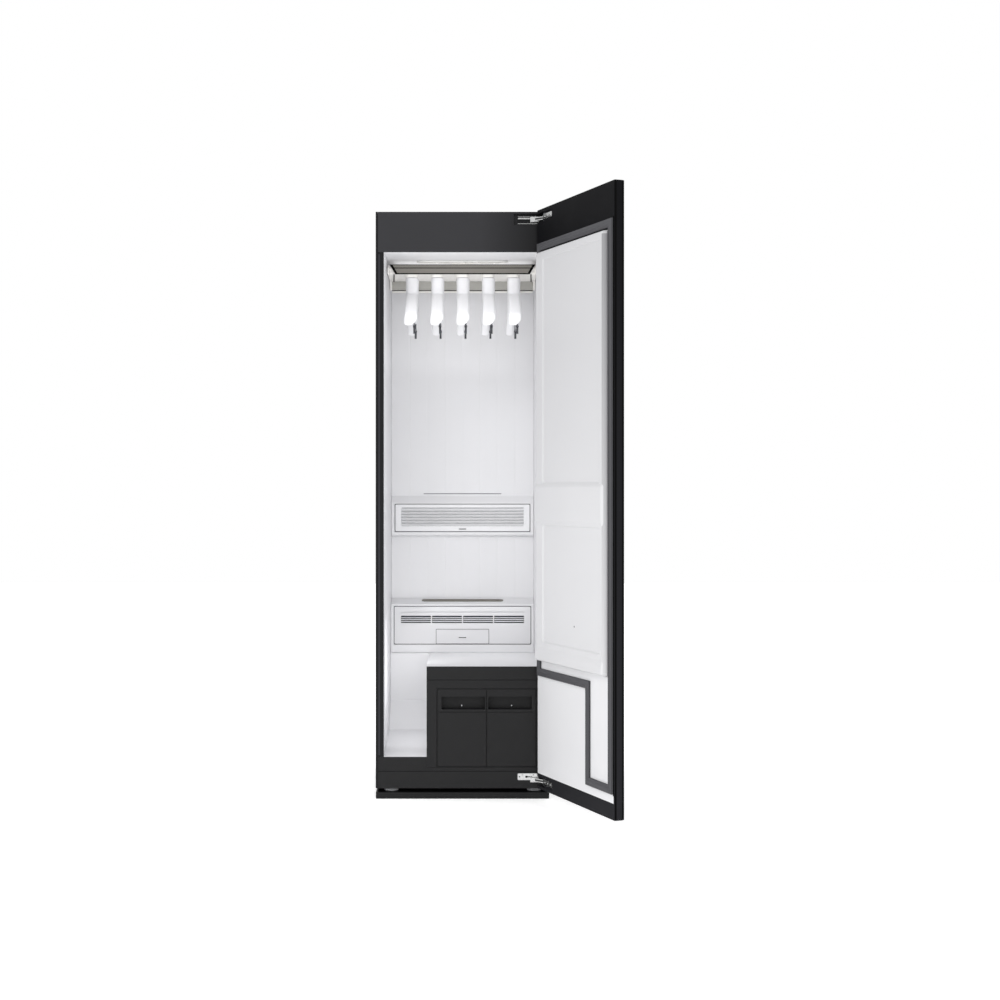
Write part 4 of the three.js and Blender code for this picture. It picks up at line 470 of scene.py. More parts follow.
# A copy of a node's solid: welded, flat facets merged into whole faces, then given its edge radius
def copyOf(node, name, shade):
    mesh = frame["nodes"][node].data.copy()
    mesh.name = name
    rows = bmesh.new()
    rows.from_mesh(mesh)
    bmesh.ops.remove_doubles(rows, verts=rows.verts, dist=2e-6)
    bmesh.ops.dissolve_limit(rows, angle_limit=math.radians(0.6), verts=rows.verts, edges=rows.edges)
    rows.to_mesh(mesh)
    rows.free()
    mesh.materials.clear()
    mesh.materials.append(shades[shade])
    piece = bpy.data.objects.new(name, mesh)
    bpy.context.collection.objects.link(piece)
    return piece


def softened(node, shade, slot, width=0.8, segments=2):
    piece = copyOf(node, node + "_shell", shade)
    bevelled(piece, width, segments)
    return seated(piece, bodyOf[node], slot, node)


# Geometry Nodes trees: each takes a geometry, its own named inputs and a material
def emptyTree(name, inputs):
    tree = bpy.data.node_groups.new(name, "GeometryNodeTree")
    for label, kind in {"Geometry": "Geometry", **inputs, "Material": "Material"}.items():
        tree.interface.new_socket(label, in_out="INPUT", socket_type="NodeSocket" + kind)
    tree.interface.new_socket("Geometry", in_out="OUTPUT", socket_type="NodeSocketGeometry")
    return tree


# Copies of a piece in rows and columns
def rowTree():
    tree = emptyTree("rowsOfCopies", {"Count": "Int", "Step": "Vector", "Rows": "Int", "Row Step": "Vector"})
    given = addNode(tree, "NodeGroupInput").outputs
    row = addNode(tree, "GeometryNodeMeshLine", {"Count": given["Count"], "Offset": given["Step"]})
    column = addNode(tree, "GeometryNodeMeshLine", {"Count": given["Rows"], "Offset": given["Row Step"]})
    first = addNode(tree, "GeometryNodeInstanceOnPoints", {
        "Points": row.outputs["Mesh"], "Instance": given["Geometry"]})
    second = addNode(tree, "GeometryNodeInstanceOnPoints", {
        "Points": column.outputs["Mesh"], "Instance": first.outputs["Instances"]})
    real = addNode(tree, "GeometryNodeRealizeInstances", {"Geometry": second.outputs["Instances"]})
    painted = addNode(tree, "GeometryNodeSetMaterial", {
        "Geometry": real.outputs["Geometry"], "Material": given["Material"]})
    addNode(tree, "NodeGroupOutput", {"Geometry": painted.outputs["Geometry"]})
    return tree


# Copies of a piece round an axis along X, such as blades
def ringTree():
    tree = emptyTree("copiesRoundAxis", {"Count": "Int", "Centre": "Vector"})
    given = addNode(tree, "NodeGroupInput").outputs
    spots = addNode(tree, "GeometryNodeMeshLine", {"Count": given["Count"], "Offset": (0, 0, 0)})
    number = addNode(tree, "GeometryNodeInputIndex").outputs["Index"]
    step = addNode(tree, "ShaderNodeMath", {0: 2 * math.pi, 1: given["Count"]}, operation="DIVIDE")
    angle = addNode(tree, "ShaderNodeMath", {0: number, 1: step.outputs["Value"]}, operation="MULTIPLY")
    turn = addNode(tree, "ShaderNodeCombineXYZ", {"X": angle.outputs["Value"]})
    copies = addNode(tree, "GeometryNodeInstanceOnPoints", {
        "Points": spots.outputs["Mesh"], "Instance": given["Geometry"], "Rotation": turn.outputs["Vector"]})
    real = addNode(tree, "GeometryNodeRealizeInstances", {"Geometry": copies.outputs["Instances"]})
    moved = addNode(tree, "GeometryNodeTransform", {
        "Geometry": real.outputs["Geometry"], "Translation": given["Centre"]})
    painted = addNode(tree, "GeometryNodeSetMaterial", {
        "Geometry": moved.outputs["Geometry"], "Material": given["Material"]})
    addNode(tree, "NodeGroupOutput", {"Geometry": painted.outputs["Geometry"]})
    return tree


bendSteps = 1                      # steps in each bend of a wire: one, which leaves a plain chamfer


# A round wire along a route
def wireTree():
    tree = emptyTree("wireAlongRoute", {"Radius": "Float", "Bend": "Float", "Sides": "Int"})
    given = addNode(tree, "NodeGroupInput").outputs
    route = addNode(tree, "GeometryNodeMeshToCurve", {"Mesh": given["Geometry"]})
    bent = addNode(tree, "GeometryNodeFilletCurve", {
        "Curve": route.outputs["Curve"], "Count": bendSteps, "Radius": given["Bend"]}, mode="POLY")
    section = addNode(tree, "GeometryNodeCurvePrimitiveCircle", {
        "Resolution": given["Sides"], "Radius": given["Radius"]})
    wire = addNode(tree, "GeometryNodeCurveToMesh", {
        "Curve": bent.outputs["Curve"], "Profile Curve": section.outputs["Curve"], "Fill Caps": True})
    real = addNode(tree, "GeometryNodeRealizeInstances", {"Geometry": wire.outputs["Mesh"]})
    painted = addNode(tree, "GeometryNodeSetMaterial", {
        "Geometry": real.outputs["Geometry"], "Material": given["Material"]})
    addNode(tree, "NodeGroupOutput", {"Geometry": painted.outputs["Geometry"]})
    return tree


trees = {"rows": rowTree(), "ring": ringTree(), "wire": wireTree()}


def grown(piece, tree, **inputs):        # runs a tree on a piece and keeps the result as its mesh
    modifier = piece.modifiers.new(tree, "NODES")
    modifier.node_group = trees[tree]
    names = {item.name: item.identifier for item in trees[tree].interface.items_tree
             if item.in_out == "INPUT"}
    for label, value in inputs.items():
        modifier[names[label]] = value
    settle(piece)
    smoothPiece(piece)
    return piece


def inMetres(*sizes):
    return tuple(size * unit for size in sizes)


def wirePiece(name, routes, radius, bend, shade, sides=12):
    mesh = bpy.data.meshes.new(name)
    points, edges = [], []
    for route in routes:
        first = len(points)
        points += [Vector(p) * unit for p in route]
        edges += [(first + i, first + i + 1) for i in range(len(route) - 1)]
    mesh.from_pydata(points, edges, [])
    piece = bpy.data.objects.new(name, mesh)
    bpy.context.collection.objects.link(piece)
    return grown(piece, "wire", Radius=radius * unit, Bend=bend * unit, Sides=sides, Material=shades[shade])


# A pan-head screw: the axis 0, 1 or 2 and the way that its head faces
def screwShapes(centre, axis, way, radius):
    dome = [(radius * 0.3, radius * 0.62), (radius * 0.62, radius * 0.55), (radius * 0.88, radius * 0.34),
            (radius, radius * 0.1), (radius, -radius * 0.1)]
    profile = [(r, way * along) for r, along in dome]
    return [turnedShape(profile, centre, axis, 20)]


print("helpers ready")


# Door-shut coordinates carried to the pose in the photograph

door = {
    "angle": 111,
    "hinge": (272, -323),              # hinge line
    "low": 41, "high": 1960,           # foot and top of the leaf
    "half": 290,                       # half its width
    "inner": -303, "outer": -335,      # faces when shut
}
hingeLine = Vector((*door["hinge"], 0)) * unit
doorOpen = (Matrix.Translation(hingeLine) @ Matrix.Rotation(math.radians(door["angle"]), 4, "Z")
            @ Matrix.Translation(-hingeLine))


def doorPiece(name, shapes, shade, smoothAngle=35):
    return makePiece(name, shapes, shade, smoothAngle, doorOpen)


def ramp(start, end, value):             # smooth step from 0 at start to 1 at end
    t = min(max((value - start) / (end - start), 0), 1)
    return t * t * (3 - 2 * t)


def gridLines(span, marks, fine, coarse, reach):    # close together near the marks, wide apart elsewhere
    lines, at = [span[0]], span[0]
    while at < span[1]:
        near = min(abs(at - mark) for mark in marks)
        at += fine if near <= reach else min(coarse, max(fine, near - reach))
        lines.append(min(at, span[1]))
    return lines


# Inside distance from a rounded rectangle's edge, positive inside
def insetOf(x, z, spanX, spanZ, radius):
    halfX, halfZ = (spanX[1] - spanX[0]) / 2 - radius, (spanZ[1] - spanZ[0]) / 2 - radius
    overX = abs(x - (spanX[0] + spanX[1]) / 2) - halfX
    overZ = abs(z - (spanZ[0] + spanZ[1]) / 2) - halfZ
    outside = math.hypot(max(overX, 0), max(overZ, 0))
    return radius - outside - min(max(overX, overZ), 0)


# The door's inner moulding: one thermoformed sheet with two sunk fields, a band and a drip ledge

doorLiner = {
    "spanX": (-256, 252), "spanZ": (468, 1815),
    "base": -302.7, "proud": 22, "flange": 0.8,
    "draft": 8, "cornerRadius": 13,
    "fieldX": (-233, 195), "fieldDepth": 4, "fieldCorner": 12,
    "upperFieldZ": (1051, 1788), "lowerFieldZ": (534, 917),
    "bandZ": (918, 934, 1040, 1051), "bandRise": 5,
    "ledgeZ": (500, 520), "ledgeRise": 4,
    "spot": (-43, 603), "spotRadius": 3.2, "spotDepth": 3,
    "fine": 1.5, "coarseX": 24, "coarseZ": 40,
}


def linerHeight(x, z):
    look = doorLiner
    edge = insetOf(x, z, look["spanX"], look["spanZ"], look["cornerRadius"])
    wall = math.sqrt(1 - (1 - min(max(edge / look["draft"], 0), 1)) ** 2)
    a, b, c, d = look["bandZ"]
    band = look["bandRise"] * (ramp(a, b, z) - ramp(c, d, z))
    ledge = look["ledgeRise"] * (1 - ramp(*look["ledgeZ"], z))
    sunk = 0
    for spanZ in (look["upperFieldZ"], look["lowerFieldZ"]):
        inside = insetOf(x, z, look["fieldX"], spanZ, look["fieldCorner"])
        sunk += look["fieldDepth"] * ramp(-2, 4, inside)
    away = math.hypot(x - look["spot"][0], z - look["spot"][1])
    dot = look["spotDepth"] * (1 - ramp(look["spotRadius"] - 1, look["spotRadius"], away))
    return max(look["flange"], wall * (look["proud"] + band + ledge - sunk) - dot)


def makeDoorLiner():
    look = doorLiner
    marksX = [*look["spanX"], *look["fieldX"], look["spot"][0]]
    marksZ = [*look["spanZ"], *look["upperFieldZ"], *look["lowerFieldZ"], *look["bandZ"], *look["ledgeZ"],
              look["spot"][1]]
    linesX = gridLines(look["spanX"], marksX, look["fine"], look["coarseX"], 12)
    linesZ = gridLines(look["spanZ"], marksZ, look["fine"], look["coarseZ"], 12)
    wide = len(linesX)
    points = [(x, look["base"] + linerHeight(x, z), z) for z in linesZ for x in linesX]
    faces = [(j * wide + i, j * wide + i + 1, (j + 1) * wide + i + 1, (j + 1) * wide + i)
             for j in range(len(linesZ) - 1) for i in range(wide - 1)]
    rim = ([i for i in range(wide)] + [j * wide + wide - 1 for j in range(1, len(linesZ))]
           + [(len(linesZ) - 1) * wide + i for i in range(wide - 2, -1, -1)]
           + [j * wide for j in range(len(linesZ) - 2, 0, -1)])
    first = len(points)
    points += [(points[i][0], look["base"], points[i][2]) for i in rim]
    count = len(rim)
    faces += [(rim[i], rim[(i + 1) % count], first + (i + 1) % count, first + i) for i in range(count)]
    faces.append(tuple(range(first, first + count)))
    piece = doorPiece("door_liner_moulding", [(points, faces)], "doorLinerPaintedShade", 60)
    seated(piece, "door", "liner_white", "door_liner")
    (x, z), radius, out = look["spot"], look["spotRadius"], look["base"] + look["proud"] - look["fieldDepth"]
    profile = [(radius * 0.5, out + 0.3), (radius, out - 0.4), (radius, out - 2.5)]
    plug = doorPiece("liner_plug", [turnedShape(profile, (x, 0, z), 1, 20)], "sealRubber", 40)
    seated(plug, "door", "gasket_rubber")


# Corners of a closed route in the door's plane, each with its mitre line
def mitreLoop(route):
    places = []
    for i, corner in enumerate(route):
        here = Vector(corner)
        into = (here - Vector(route[i - 1])).normalized()
        away = (Vector(route[(i + 1) % len(route)]) - here).normalized()
        places.append((here, Vector((into.y + away.y, -into.x - away.x))))
    return places


doorSeal = {
    "free": -281, "hinge": 276, "top": 1847, "bottom": 118, "branchX": -98, "branchZ": 416,
    "half": 12.8, "base": -302.7,
    # half section, across and out: foot flange, one bellows fold, magnet chamber with a raised centre line
    "section": [(12.8, 0), (12.8, 1.2), (11.6, 2.0), (11.0, 3.4), (12.0, 4.6), (12.3, 5.7), (11.4, 6.4),
                (4.6, 5.4), (2.6, 6.9)],
}


def makeDoorSeal():
    look, half = doorSeal, doorSeal["half"]
    free, hinge, branch = look["free"] + half, look["hinge"] - half, look["branchX"] - half
    bottom, middle, top = look["bottom"] + half, look["branchZ"] + half, look["top"] - half
    route = [(free, bottom), (branch, bottom), (branch, middle), (hinge, middle), (hinge, top), (free, top)]
    right = look["section"]
    section = right + [(-across, out) for across, out in reversed(right)]
    rings = []
    for spot, side in mitreLoop(route):
        rings.append([(spot.x + side.x * across, look["base"] + out, spot.y + side.y * across)
                      for across, out in section])
    count = len(section)
    points = [p for ring in rings for p in ring]
    faces = []
    for r in range(len(rings)):
        low, high = r * count, (r + 1) % len(rings) * count
        faces += [(low + i, low + (i + 1) % count, high + (i + 1) % count, high + i) for i in range(count)]
    piece = doorPiece("door_seal", [(points, faces)], "sealRubber", 50)
    seated(piece, "door", "gasket_rubber", "door_gasket")


# Painted shadow in the door's joints: dark strips beside the seal, and along both rims of the free edge
doorJointShadows = {"channel": (-286.2, -281.4), "past": 4, "thick": 1.2, "proud": 0.4, "endGap": 3,
            "innerRim": (-6.2, -0.9), "outerRim": (1, 7)}


def makeDoorJointShadows():
    look, base = doorJointShadows, doorSeal["base"]
    rows = (doorSeal["bottom"] - look["past"], doorSeal["top"] + look["past"])
    edge = (-door["half"] - look["proud"], -door["half"] + look["proud"])
    ends = (door["low"] + look["endGap"], door["high"] - look["endGap"])
    joints = [blockShape(look["channel"], (base, base + look["thick"]), rows)]
    for face in ("inner", "outer"):
        joints.append(blockShape(edge, [door[face] + at for at in look[face + "Rim"]], ends))
    seated(doorPiece("door_joint_shadows", joints, "jointPaintedShadow"), "door", "black_moulding")


# The moulding's free edge: a thin grey strip on its wall paints the wall's shading, over a dark root strip that
# paints the shadow at the wall's foot
linerEdge = {
    # sections from the moulding's edge and base, across and out
    "face": [(-0.9, 7), (-0.3, 12), (1, 16.4), (2.6, 19.4), (4.8, 21.6), (7.4, 22.6)],
    "inward": (1.6, -2), "root": [(-2, 0), (-2, 5.4), (-0.9, 6.9), (1.5, 6.9), (1.5, 0)],
    "stripGaps": (12, 12), "rootGaps": (4, 6),          # short of the moulding's foot and head
}


def makeLinerEdge():
    look = linerEdge
    x, base = doorLiner["spanX"][0], doorLiner["base"]
    low, high = doorLiner["spanZ"]
    face, (across, out) = look["face"], look["inward"]
    wall = face + [(a + across, b + out) for a, b in reversed(face)]
    for name, outline, gaps, shade, angle, slot in (
            ("liner_edge_strip", wall, look["stripGaps"], "edgeStripPaintedShade", 60, "liner_white"),
            ("liner_edge_root", look["root"], look["rootGaps"], "sealRubber", 35, "gasket_rubber")):
        placed = [(x + a, base + b) for a, b in outline]
        shape = prismShape(placed, (low + gaps[0], high - gaps[1]), 2)
        seated(doorPiece(name, [shape], shade, angle), "door", slot)


softened("door_glass", "backPaintedGlass", "black_glass", 0.8, 3)
softened("door_frame", "doorPowderPaintedLight", "cabinet_black", 0.9, 3)
softened("door_lower_panel", "calenderedSheet", "liner_white", 1.0, 3)
makeDoorLiner()
makeDoorSeal()
makeDoorJointShadows()
makeLinerEdge()
print("door made")


# Cabinet shell and front frame

shellPieces = {
    "side_panel_left": ("powderCoatedSteel", "cabinet_black", 0.35),
    "side_panel_right": ("powderCoatedSteel", "cabinet_black", 0.35),
    "top_panel": ("powderCoatedSteel", "cabinet_black", 0.35),
    "header_panel": ("headerPaintedSheen", "cabinet_black", 0.9),
    "front_stile_left": ("powderCoatedSteel", "cabinet_black", 1.2),
    "front_stile_right": ("powderCoatedSteel", "cabinet_black", 1.2),
    "front_sill": ("texturedBlackAbs", "black_moulding", 0.9),
    "tank_bay_fascia": ("texturedBlackAbs", "black_moulding", 0.7),
    "tank_bay_tub": ("texturedBlackAbs", "black_moulding", 0.6),
    "chamber_wall_left": ("thermoformedLiner", "liner_white", 1.2),
    "chamber_wall_right": ("thermoformedLiner", "liner_white", 1.2),
    "chamber_ceiling": ("glossWhiteAbs", "liner_white", 1.2),
    # the floor takes the brighter white as painted light
    "chamber_floor": ("glossWhiteAbs", "liner_white", 2.5),
    "leg_well": ("thermoformedLiner", "liner_white", 2.0),
    "upper_duct_housing": ("thermoformedLiner", "liner_white", 0.6),
    "lower_duct_housing": ("thermoformedLiner", "liner_white", 0.6),
    "nozzle_plenum": ("creamMoulding", "cream_moulding", 0.8),
    "rear_panel": ("zincCoatedSheet", "zinc_sheet", 0.3),
    "rear_service_cover": ("zincCoatedSheet", "zinc_sheet", 0.5),
    "supply_tank_tub": ("smokedPolycarbonate", "smoked_tank", 0.7),
    "drain_tank_tub": ("smokedPolycarbonate", "smoked_tank", 0.7),
    "blower_housing": ("glassFilledNylon", "grey_moulding", 0.6),
    "blower_motor": ("zincCoatedSheet", "zinc_sheet", 0.8),
    "control_board": ("solderMask", "board_green", 0.3),
    "compressor": ("stovedEnamel", "cabinet_black", 1.0),
    "steam_generator": ("glassFilledNylon", "grey_moulding", 1.2),
    "ceiling_lamp": ("opalAcrylic", "lamp_lens", 1.5),
}
for node, (shade, slot, width) in shellPieces.items():
    softened(node, shade, slot, width)


# Back wall: one sheet with seven shallow pressed lines and an air slit, its shade painted by a dark strip set
# inside it
backWall = {
    "lines": 7, "pitch": 64, "lineHalf": 4, "lineDepth": 0.45,
    "lineShares": ((-1, 0), (-0.4, 0.8), (0, 1), (0.4, 0.8), (1, 0)),       # section of a line, as shares
    "slitX": 142, "slitZ": (1016, 1018.6), "slitDepth": 4, "shadowFront": 1.2, "shadowGap": 0.2,
    "crease": 2,                       # degrees between faces that still shade as one
}


def makeBackWall():
    look = backWall
    (x0, x1), (y0, y1), spanZ = boxOf("chamber_back_wall")
    plan = [(x0, y1), (x0, y0)]
    for i in range(look["lines"]):
        x = (i - (look["lines"] - 1) / 2) * look["pitch"]
        plan += [(x + look["lineHalf"] * a, y0 + look["lineDepth"] * b) for a, b in look["lineShares"]]
    plan += [(x1, y0), (x1, y1)]
    sheet = makePiece("back_wall_sheet", [prismShape(plan, spanZ, 2)], "thermoformedLiner")
    half, deep, (low, high), gap = look["slitX"], y0 + look["slitDepth"], look["slitZ"], look["shadowGap"]
    carved(sheet, [blockShape((-half, half), (y0 - overcut, deep), (low, high))])
    smoothPiece(sheet, look["crease"])
    seated(sheet, "cabinet", "liner_white", "chamber_back_wall")
    # a dark strip set inside the slit paints its shade
    across, rows = (-half + gap, half - gap), (low + gap, high - gap)
    shadowStrip = blockShape(across, (y0 + look["shadowFront"], deep - gap), rows)
    seated(makePiece("back_slit_shadow", [shadowStrip], "sealRubber"), "cabinet", "gasket_rubber")


# Intake trim: the strip on the lower housing, drawn slimmer than its solid about the same middle
intake = {"depthShare": 0.5, "heightShare": 0.66, "edge": 0.5}


def makeIntake():
    trim = copyOf("air_intake_trim", "intake_trim", "taupeMoulding")
    spans = boxOf("air_intake_trim")
    middle = Vector([sum(span) / 2 for span in spans]) * unit
    for vertex in trim.data.vertices:
        vertex.co.y = middle.y + (vertex.co.y - middle.y) * intake["depthShare"]
        vertex.co.z = middle.z + (vertex.co.z - middle.z) * intake["heightShare"]
    bevelled(trim, intake["edge"])
    seated(trim, "cabinet", "taupe_moulding", "air_intake_trim")


# Plinth: the tray with two fine lines along its front
plinth = {"lineZ": (6.5, 14.5), "lineHigh": 1.6, "lineDeep": 1.4, "edge": 0.7}


def makePlinth():
    look = plinth
    tray = copyOf("plinth_tray", "plinth_body", "texturedBlackAbs")
    (x0, x1), (y0, _), _ = boxOf("plinth_tray")
    for z in look["lineZ"]:
        across, into = (x0 - overcut, x1 + overcut), (y0 - overcut, y0 + look["lineDeep"])
        carved(tray, [blockShape(across, into, (z, z + look["lineHigh"]))])
    bevelled(tray, look["edge"])
    seated(tray, "cabinet", "cabinet_black", "plinth_tray")


makeBackWall()
makeIntake()
makePlinth()
beadBox = ((-281.4, -275.6), (-295.5, -294.6), (146, 1818))       # raised bead on the left stile
# the bead's lighter colour is a painted highlight
stileBead = makePiece("stile_bead", [blockShape(*beadBox)], "beadPaintedHighlight")
seated(bevelled(stileBead, 0.25), "cabinet", "cabinet_black")
print("shell made")


# A base piece copied along one or two directions by the rows tree
def rowsOf(name, shapes, shade, body, slot, count, step, rows=1, rowStep=(0, 0, 0), matrix=None):
    piece = makePiece(name, shapes, shade)
    grown(piece, "rows", **{"Count": count, "Step": inMetres(*step), "Rows": rows,
                            "Row Step": inMetres(*rowStep), "Material": shades[shade]})
    if matrix is not None:
        piece.data.transform(matrix)
    return seated(piece, body, slot)


def ringBand(outer, inner, span, axis):  # a closed band between two outlines with the same point count
    count = len(outer)
    rings = [lifted(outline, along, axis) for outline, along in
             ((outer, span[0]), (outer, span[1]), (inner, span[1]), (inner, span[0]))]
    points = [p for ring in rings for p in ring]
    faces = [(r * count + i, r * count + (i + 1) % count, (r + 1) % 4 * count + (i + 1) % count,
              (r + 1) % 4 * count + i) for r in range(4) for i in range(count)]
    return points, faces


# a grey ring proud of a panel's face, painting the shadow in the joint round it
def jointShadowRing(name, body, spanX, spanZ, corner, front, width=2.2, proud=0.5):
    outer = roundedOutline(spanX, spanZ, corner)
    inner = roundedOutline((spanX[0] + width, spanX[1] - width), (spanZ[0] + width, spanZ[1] - width),
                           corner - width / 2)
    piece = makePiece(name, [ringBand(outer, inner, (front - proud, front + 1), 1)], "tabGreyAndJointShadow")
    return seated(piece, body, "gasket_rubber")


pull = {"half": 13.5, "halfHigh": 1.5, "corner": 1.4, "out": 1.5, "sunk": 0.5, "edge": 0.4}


def pullTab(name, body, x, z, front):
    look = pull
    half, high = look["half"], look["halfHigh"]
    outline = roundedOutline((x - half, x + half), (z - high, z + high), look["corner"])
    shape = prismShape(outline, (front - look["out"], front + look["sunk"]), 1)
    tab = makePiece(name, [shape], "tabGreyAndJointShadow", 40)
    return seated(bevelled(tab, look["edge"]), body, "grey_moulding")


# Air vents: louvred panels, each with a grey ring that paints the shadow in its joint

upperVent = {
    "spanX": (-246.5, 246.5), "spanZ": (878.5, 980.5), "spanY": (185, 196), "corner": 5,
    "windowX": (-223, 223), "windowZ": (900, 966.4), "windowCorner": 3, "edge": 0.9,
    "slats": 6, "firstSlat": 908.9, "slatPitch": 10.9, "slatDepth": (185.8, 190.6), "lean": 6.3,
    "slatThick": 2.4, "slatEnd": 0.5,
    "pleats": 12, "foldShare": 0.5, "filterY": (191.6, 195.4), "tabZ": 889,
}


def slatShape(look, z, halfX):
    near, far = look["slatDepth"]
    thick, lean = look["slatThick"] / 2, look["lean"]
    nose, sag, slope = 0.9, 0.3, 0.4         # the slat's rounded front edge: depth, fall below, fall above
    outline = [(near, z - lean - thick), (near + nose, z - lean - thick - sag), (far, z - thick),
               (far, z + thick), (near + nose, z - lean + thick), (near, z - lean + thick - slope)]
    return prismShape(outline, (-halfX, halfX), 0)


def makeUpperVent():
    look = upperVent
    front, back = look["spanY"]
    frameShape = prismShape(roundedOutline(look["spanX"], look["spanZ"], look["corner"]), (front, back), 1)
    piece = makePiece("upper_vent_frame", [frameShape], "glossWhiteAbs")
    window = roundedOutline(look["windowX"], look["windowZ"], look["windowCorner"])
    carved(piece, [prismShape(window, (front - overcut, back + overcut), 1)])
    bevelled(piece, look["edge"], 3)
    seated(piece, "upper_vent", "white_moulding", "upper_vent_panel")
    low, high = look["windowZ"]
    slat = slatShape(look, look["firstSlat"], look["windowX"][1] + look["slatEnd"])
    rowsOf("upper_vent_slats", [slat], "glossWhiteAbs", "upper_vent", "white_moulding", look["slats"],
           (0, 0, look["slatPitch"]))
    near, far = look["filterY"]
    step = (high - low) / look["pleats"]
    fold = (far - near) * look["foldShare"]
    folds = [(near + fold * (i % 2), low + step * i / 2) for i in range(look["pleats"] * 2 + 1)]
    (left, right), gap = look["windowX"], look["slatEnd"]
    pleats = prismShape(folds + [(far, high), (far, low)], (left + gap, right - gap), 0)
    seated(makePiece("upper_vent_filter", [pleats], "filterPaper", 20), "upper_vent", "white_moulding")
    jointShadowRing("upper_vent_shadow_ring", "upper_vent", look["spanX"], look["spanZ"], look["corner"], front)
    pullTab("upper_vent_tab", "upper_vent", 0, look["tabZ"], front)


lowerVent = {
    "spanX": (-248.5, 248.5), "spanZ": (472, 611), "spanY": (155, 166), "corner": 5,
    "windows": 4, "windowX": (-223, 223), "mullion": 4, "windowZ": (549, 576), "windowCorner": 2.5,
    "slats": 3, "slatDepth": (155.8, 160.2), "lean": 1.6, "slatThick": 1.3, "slatEnd": -0.5,
    "filterY": (161.2, 165.2), "filterGap": 0.4, "slitZ": (588, 591), "slitDepth": 4, "edge": 0.8,
    "cartridgeX": (-96, 96), "cartridgeZ": (473.6, 527.6), "cartridgeCorner": 2, "tabZ": 497,
}


def makeLowerVent():
    look = lowerVent
    front, back = look["spanY"]
    left, right = look["windowX"]
    width = (right - left - look["mullion"] * (look["windows"] - 1)) / look["windows"]
    frameShape = prismShape(roundedOutline(look["spanX"], look["spanZ"], look["corner"]), (front, back), 1)
    piece = makePiece("lower_vent_frame", [frameShape], "whiteAbsPaintedShade")
    through = (front - overcut, back + overcut)
    windows = [prismShape(roundedOutline((x, x + width), look["windowZ"], look["windowCorner"]), through, 1)
               for x in (left + (width + look["mullion"]) * i for i in range(look["windows"]))]
    slit = blockShape((left, right), (front - overcut, front + look["slitDepth"]), look["slitZ"])
    reach = [(look["cartridgeX"][0] - fitGap, look["cartridgeX"][1] + fitGap),
             (look["cartridgeZ"][0] - fitGap, look["cartridgeZ"][1] + fitGap)]
    cutOut = prismShape(roundedOutline(*reach, look["cartridgeCorner"] + fitGap), through, 1)
    for tool in [*windows, slit, cutOut]:
        carved(piece, [tool])
    bevelled(piece, look["edge"])
    seated(piece, "cabinet", "white_moulding", "lower_vent_panel")
    low, high = look["windowZ"]
    pitch = (high - low) / (look["slats"] + 1)
    slat = slatShape(look, low + pitch, right + look["slatEnd"])
    rowsOf("lower_vent_slats", [slat], "glossWhiteAbs", "cabinet", "white_moulding", look["slats"],
           (0, 0, pitch))
    gap = look["filterGap"]
    mat = roundedOutline((left + gap, right - gap), (low + gap, high - gap), look["windowCorner"] - 0.5)
    fleece = prismShape(mat, look["filterY"], 1)
    seated(makePiece("lower_vent_filter", [fleece], "filterFleece"), "cabinet", "grey_moulding")
    jointShadowRing("lower_vent_shadow_ring", "cabinet", look["spanX"], look["spanZ"], look["corner"], front)


def makeCartridge():
    look = lowerVent
    softened("fragrance_cartridge", "whiteAbsPaintedShade", "white_moulding", 0.8, 3)
    front = look["spanY"][0]
    jointShadowRing("cartridge_shadow_ring", "cartridge", look["cartridgeX"], look["cartridgeZ"], look["cartridgeCorner"],
            front, 1.4, 0.4)
    pullTab("cartridge_tab", "cartridge", 0, look["tabZ"], front - 0.2)


makeUpperVent()
makeLowerVent()
makeCartridge()
print("vents made")


# Air hanger settings, which the rail over them reads too

hanger = {
    "count": 5, "pitch": 88, "turn": 0.004, "offset": 2, "y": -77,
    "reach": 182, "crown": 1692, "drop": 90, "curve": 1.35, "half": 21, "high": (27, 21),
    "flare": 4, "flarePower": 4, "narrow": 0.42, "endRound": 8, "stations": 40,
    "squareness": 4.2, "cornerSquareness": 1.2,
    # neck levels: height, half width, half depth
    "neck": [(1766, 22.4, 30), (1765, 23.2, 31), (1748, 22.8, 30), (1728, 22.4, 30), (1712, 22.4, 33),
             (1700, 22.4, 38), (1690, 22.4, 42)],
    # half width, half depth, corner, foot and head
    "spigot": (17, 20, 8, 1760, 1791), "bore": (13, 16, 7, 1731, 1797),
    "slots": (0.42, 0.72), "slotLength": 30, "slotHalf": 2, "slotCorner": 1.9, "slotDepth": 4, "slotPast": 12,
    "sides": 36, "neckSquareness": 2.8, "endSteps": 6, "voxel": 2.1, "smoothShare": 0.5, "smoothTurns": 7,
}
hangerPlaces = [(i - (hanger["count"] - 1) / 2) * hanger["pitch"] for i in range(hanger["count"])]


# Hanger rail: a two-step front beam mitred into the end frame

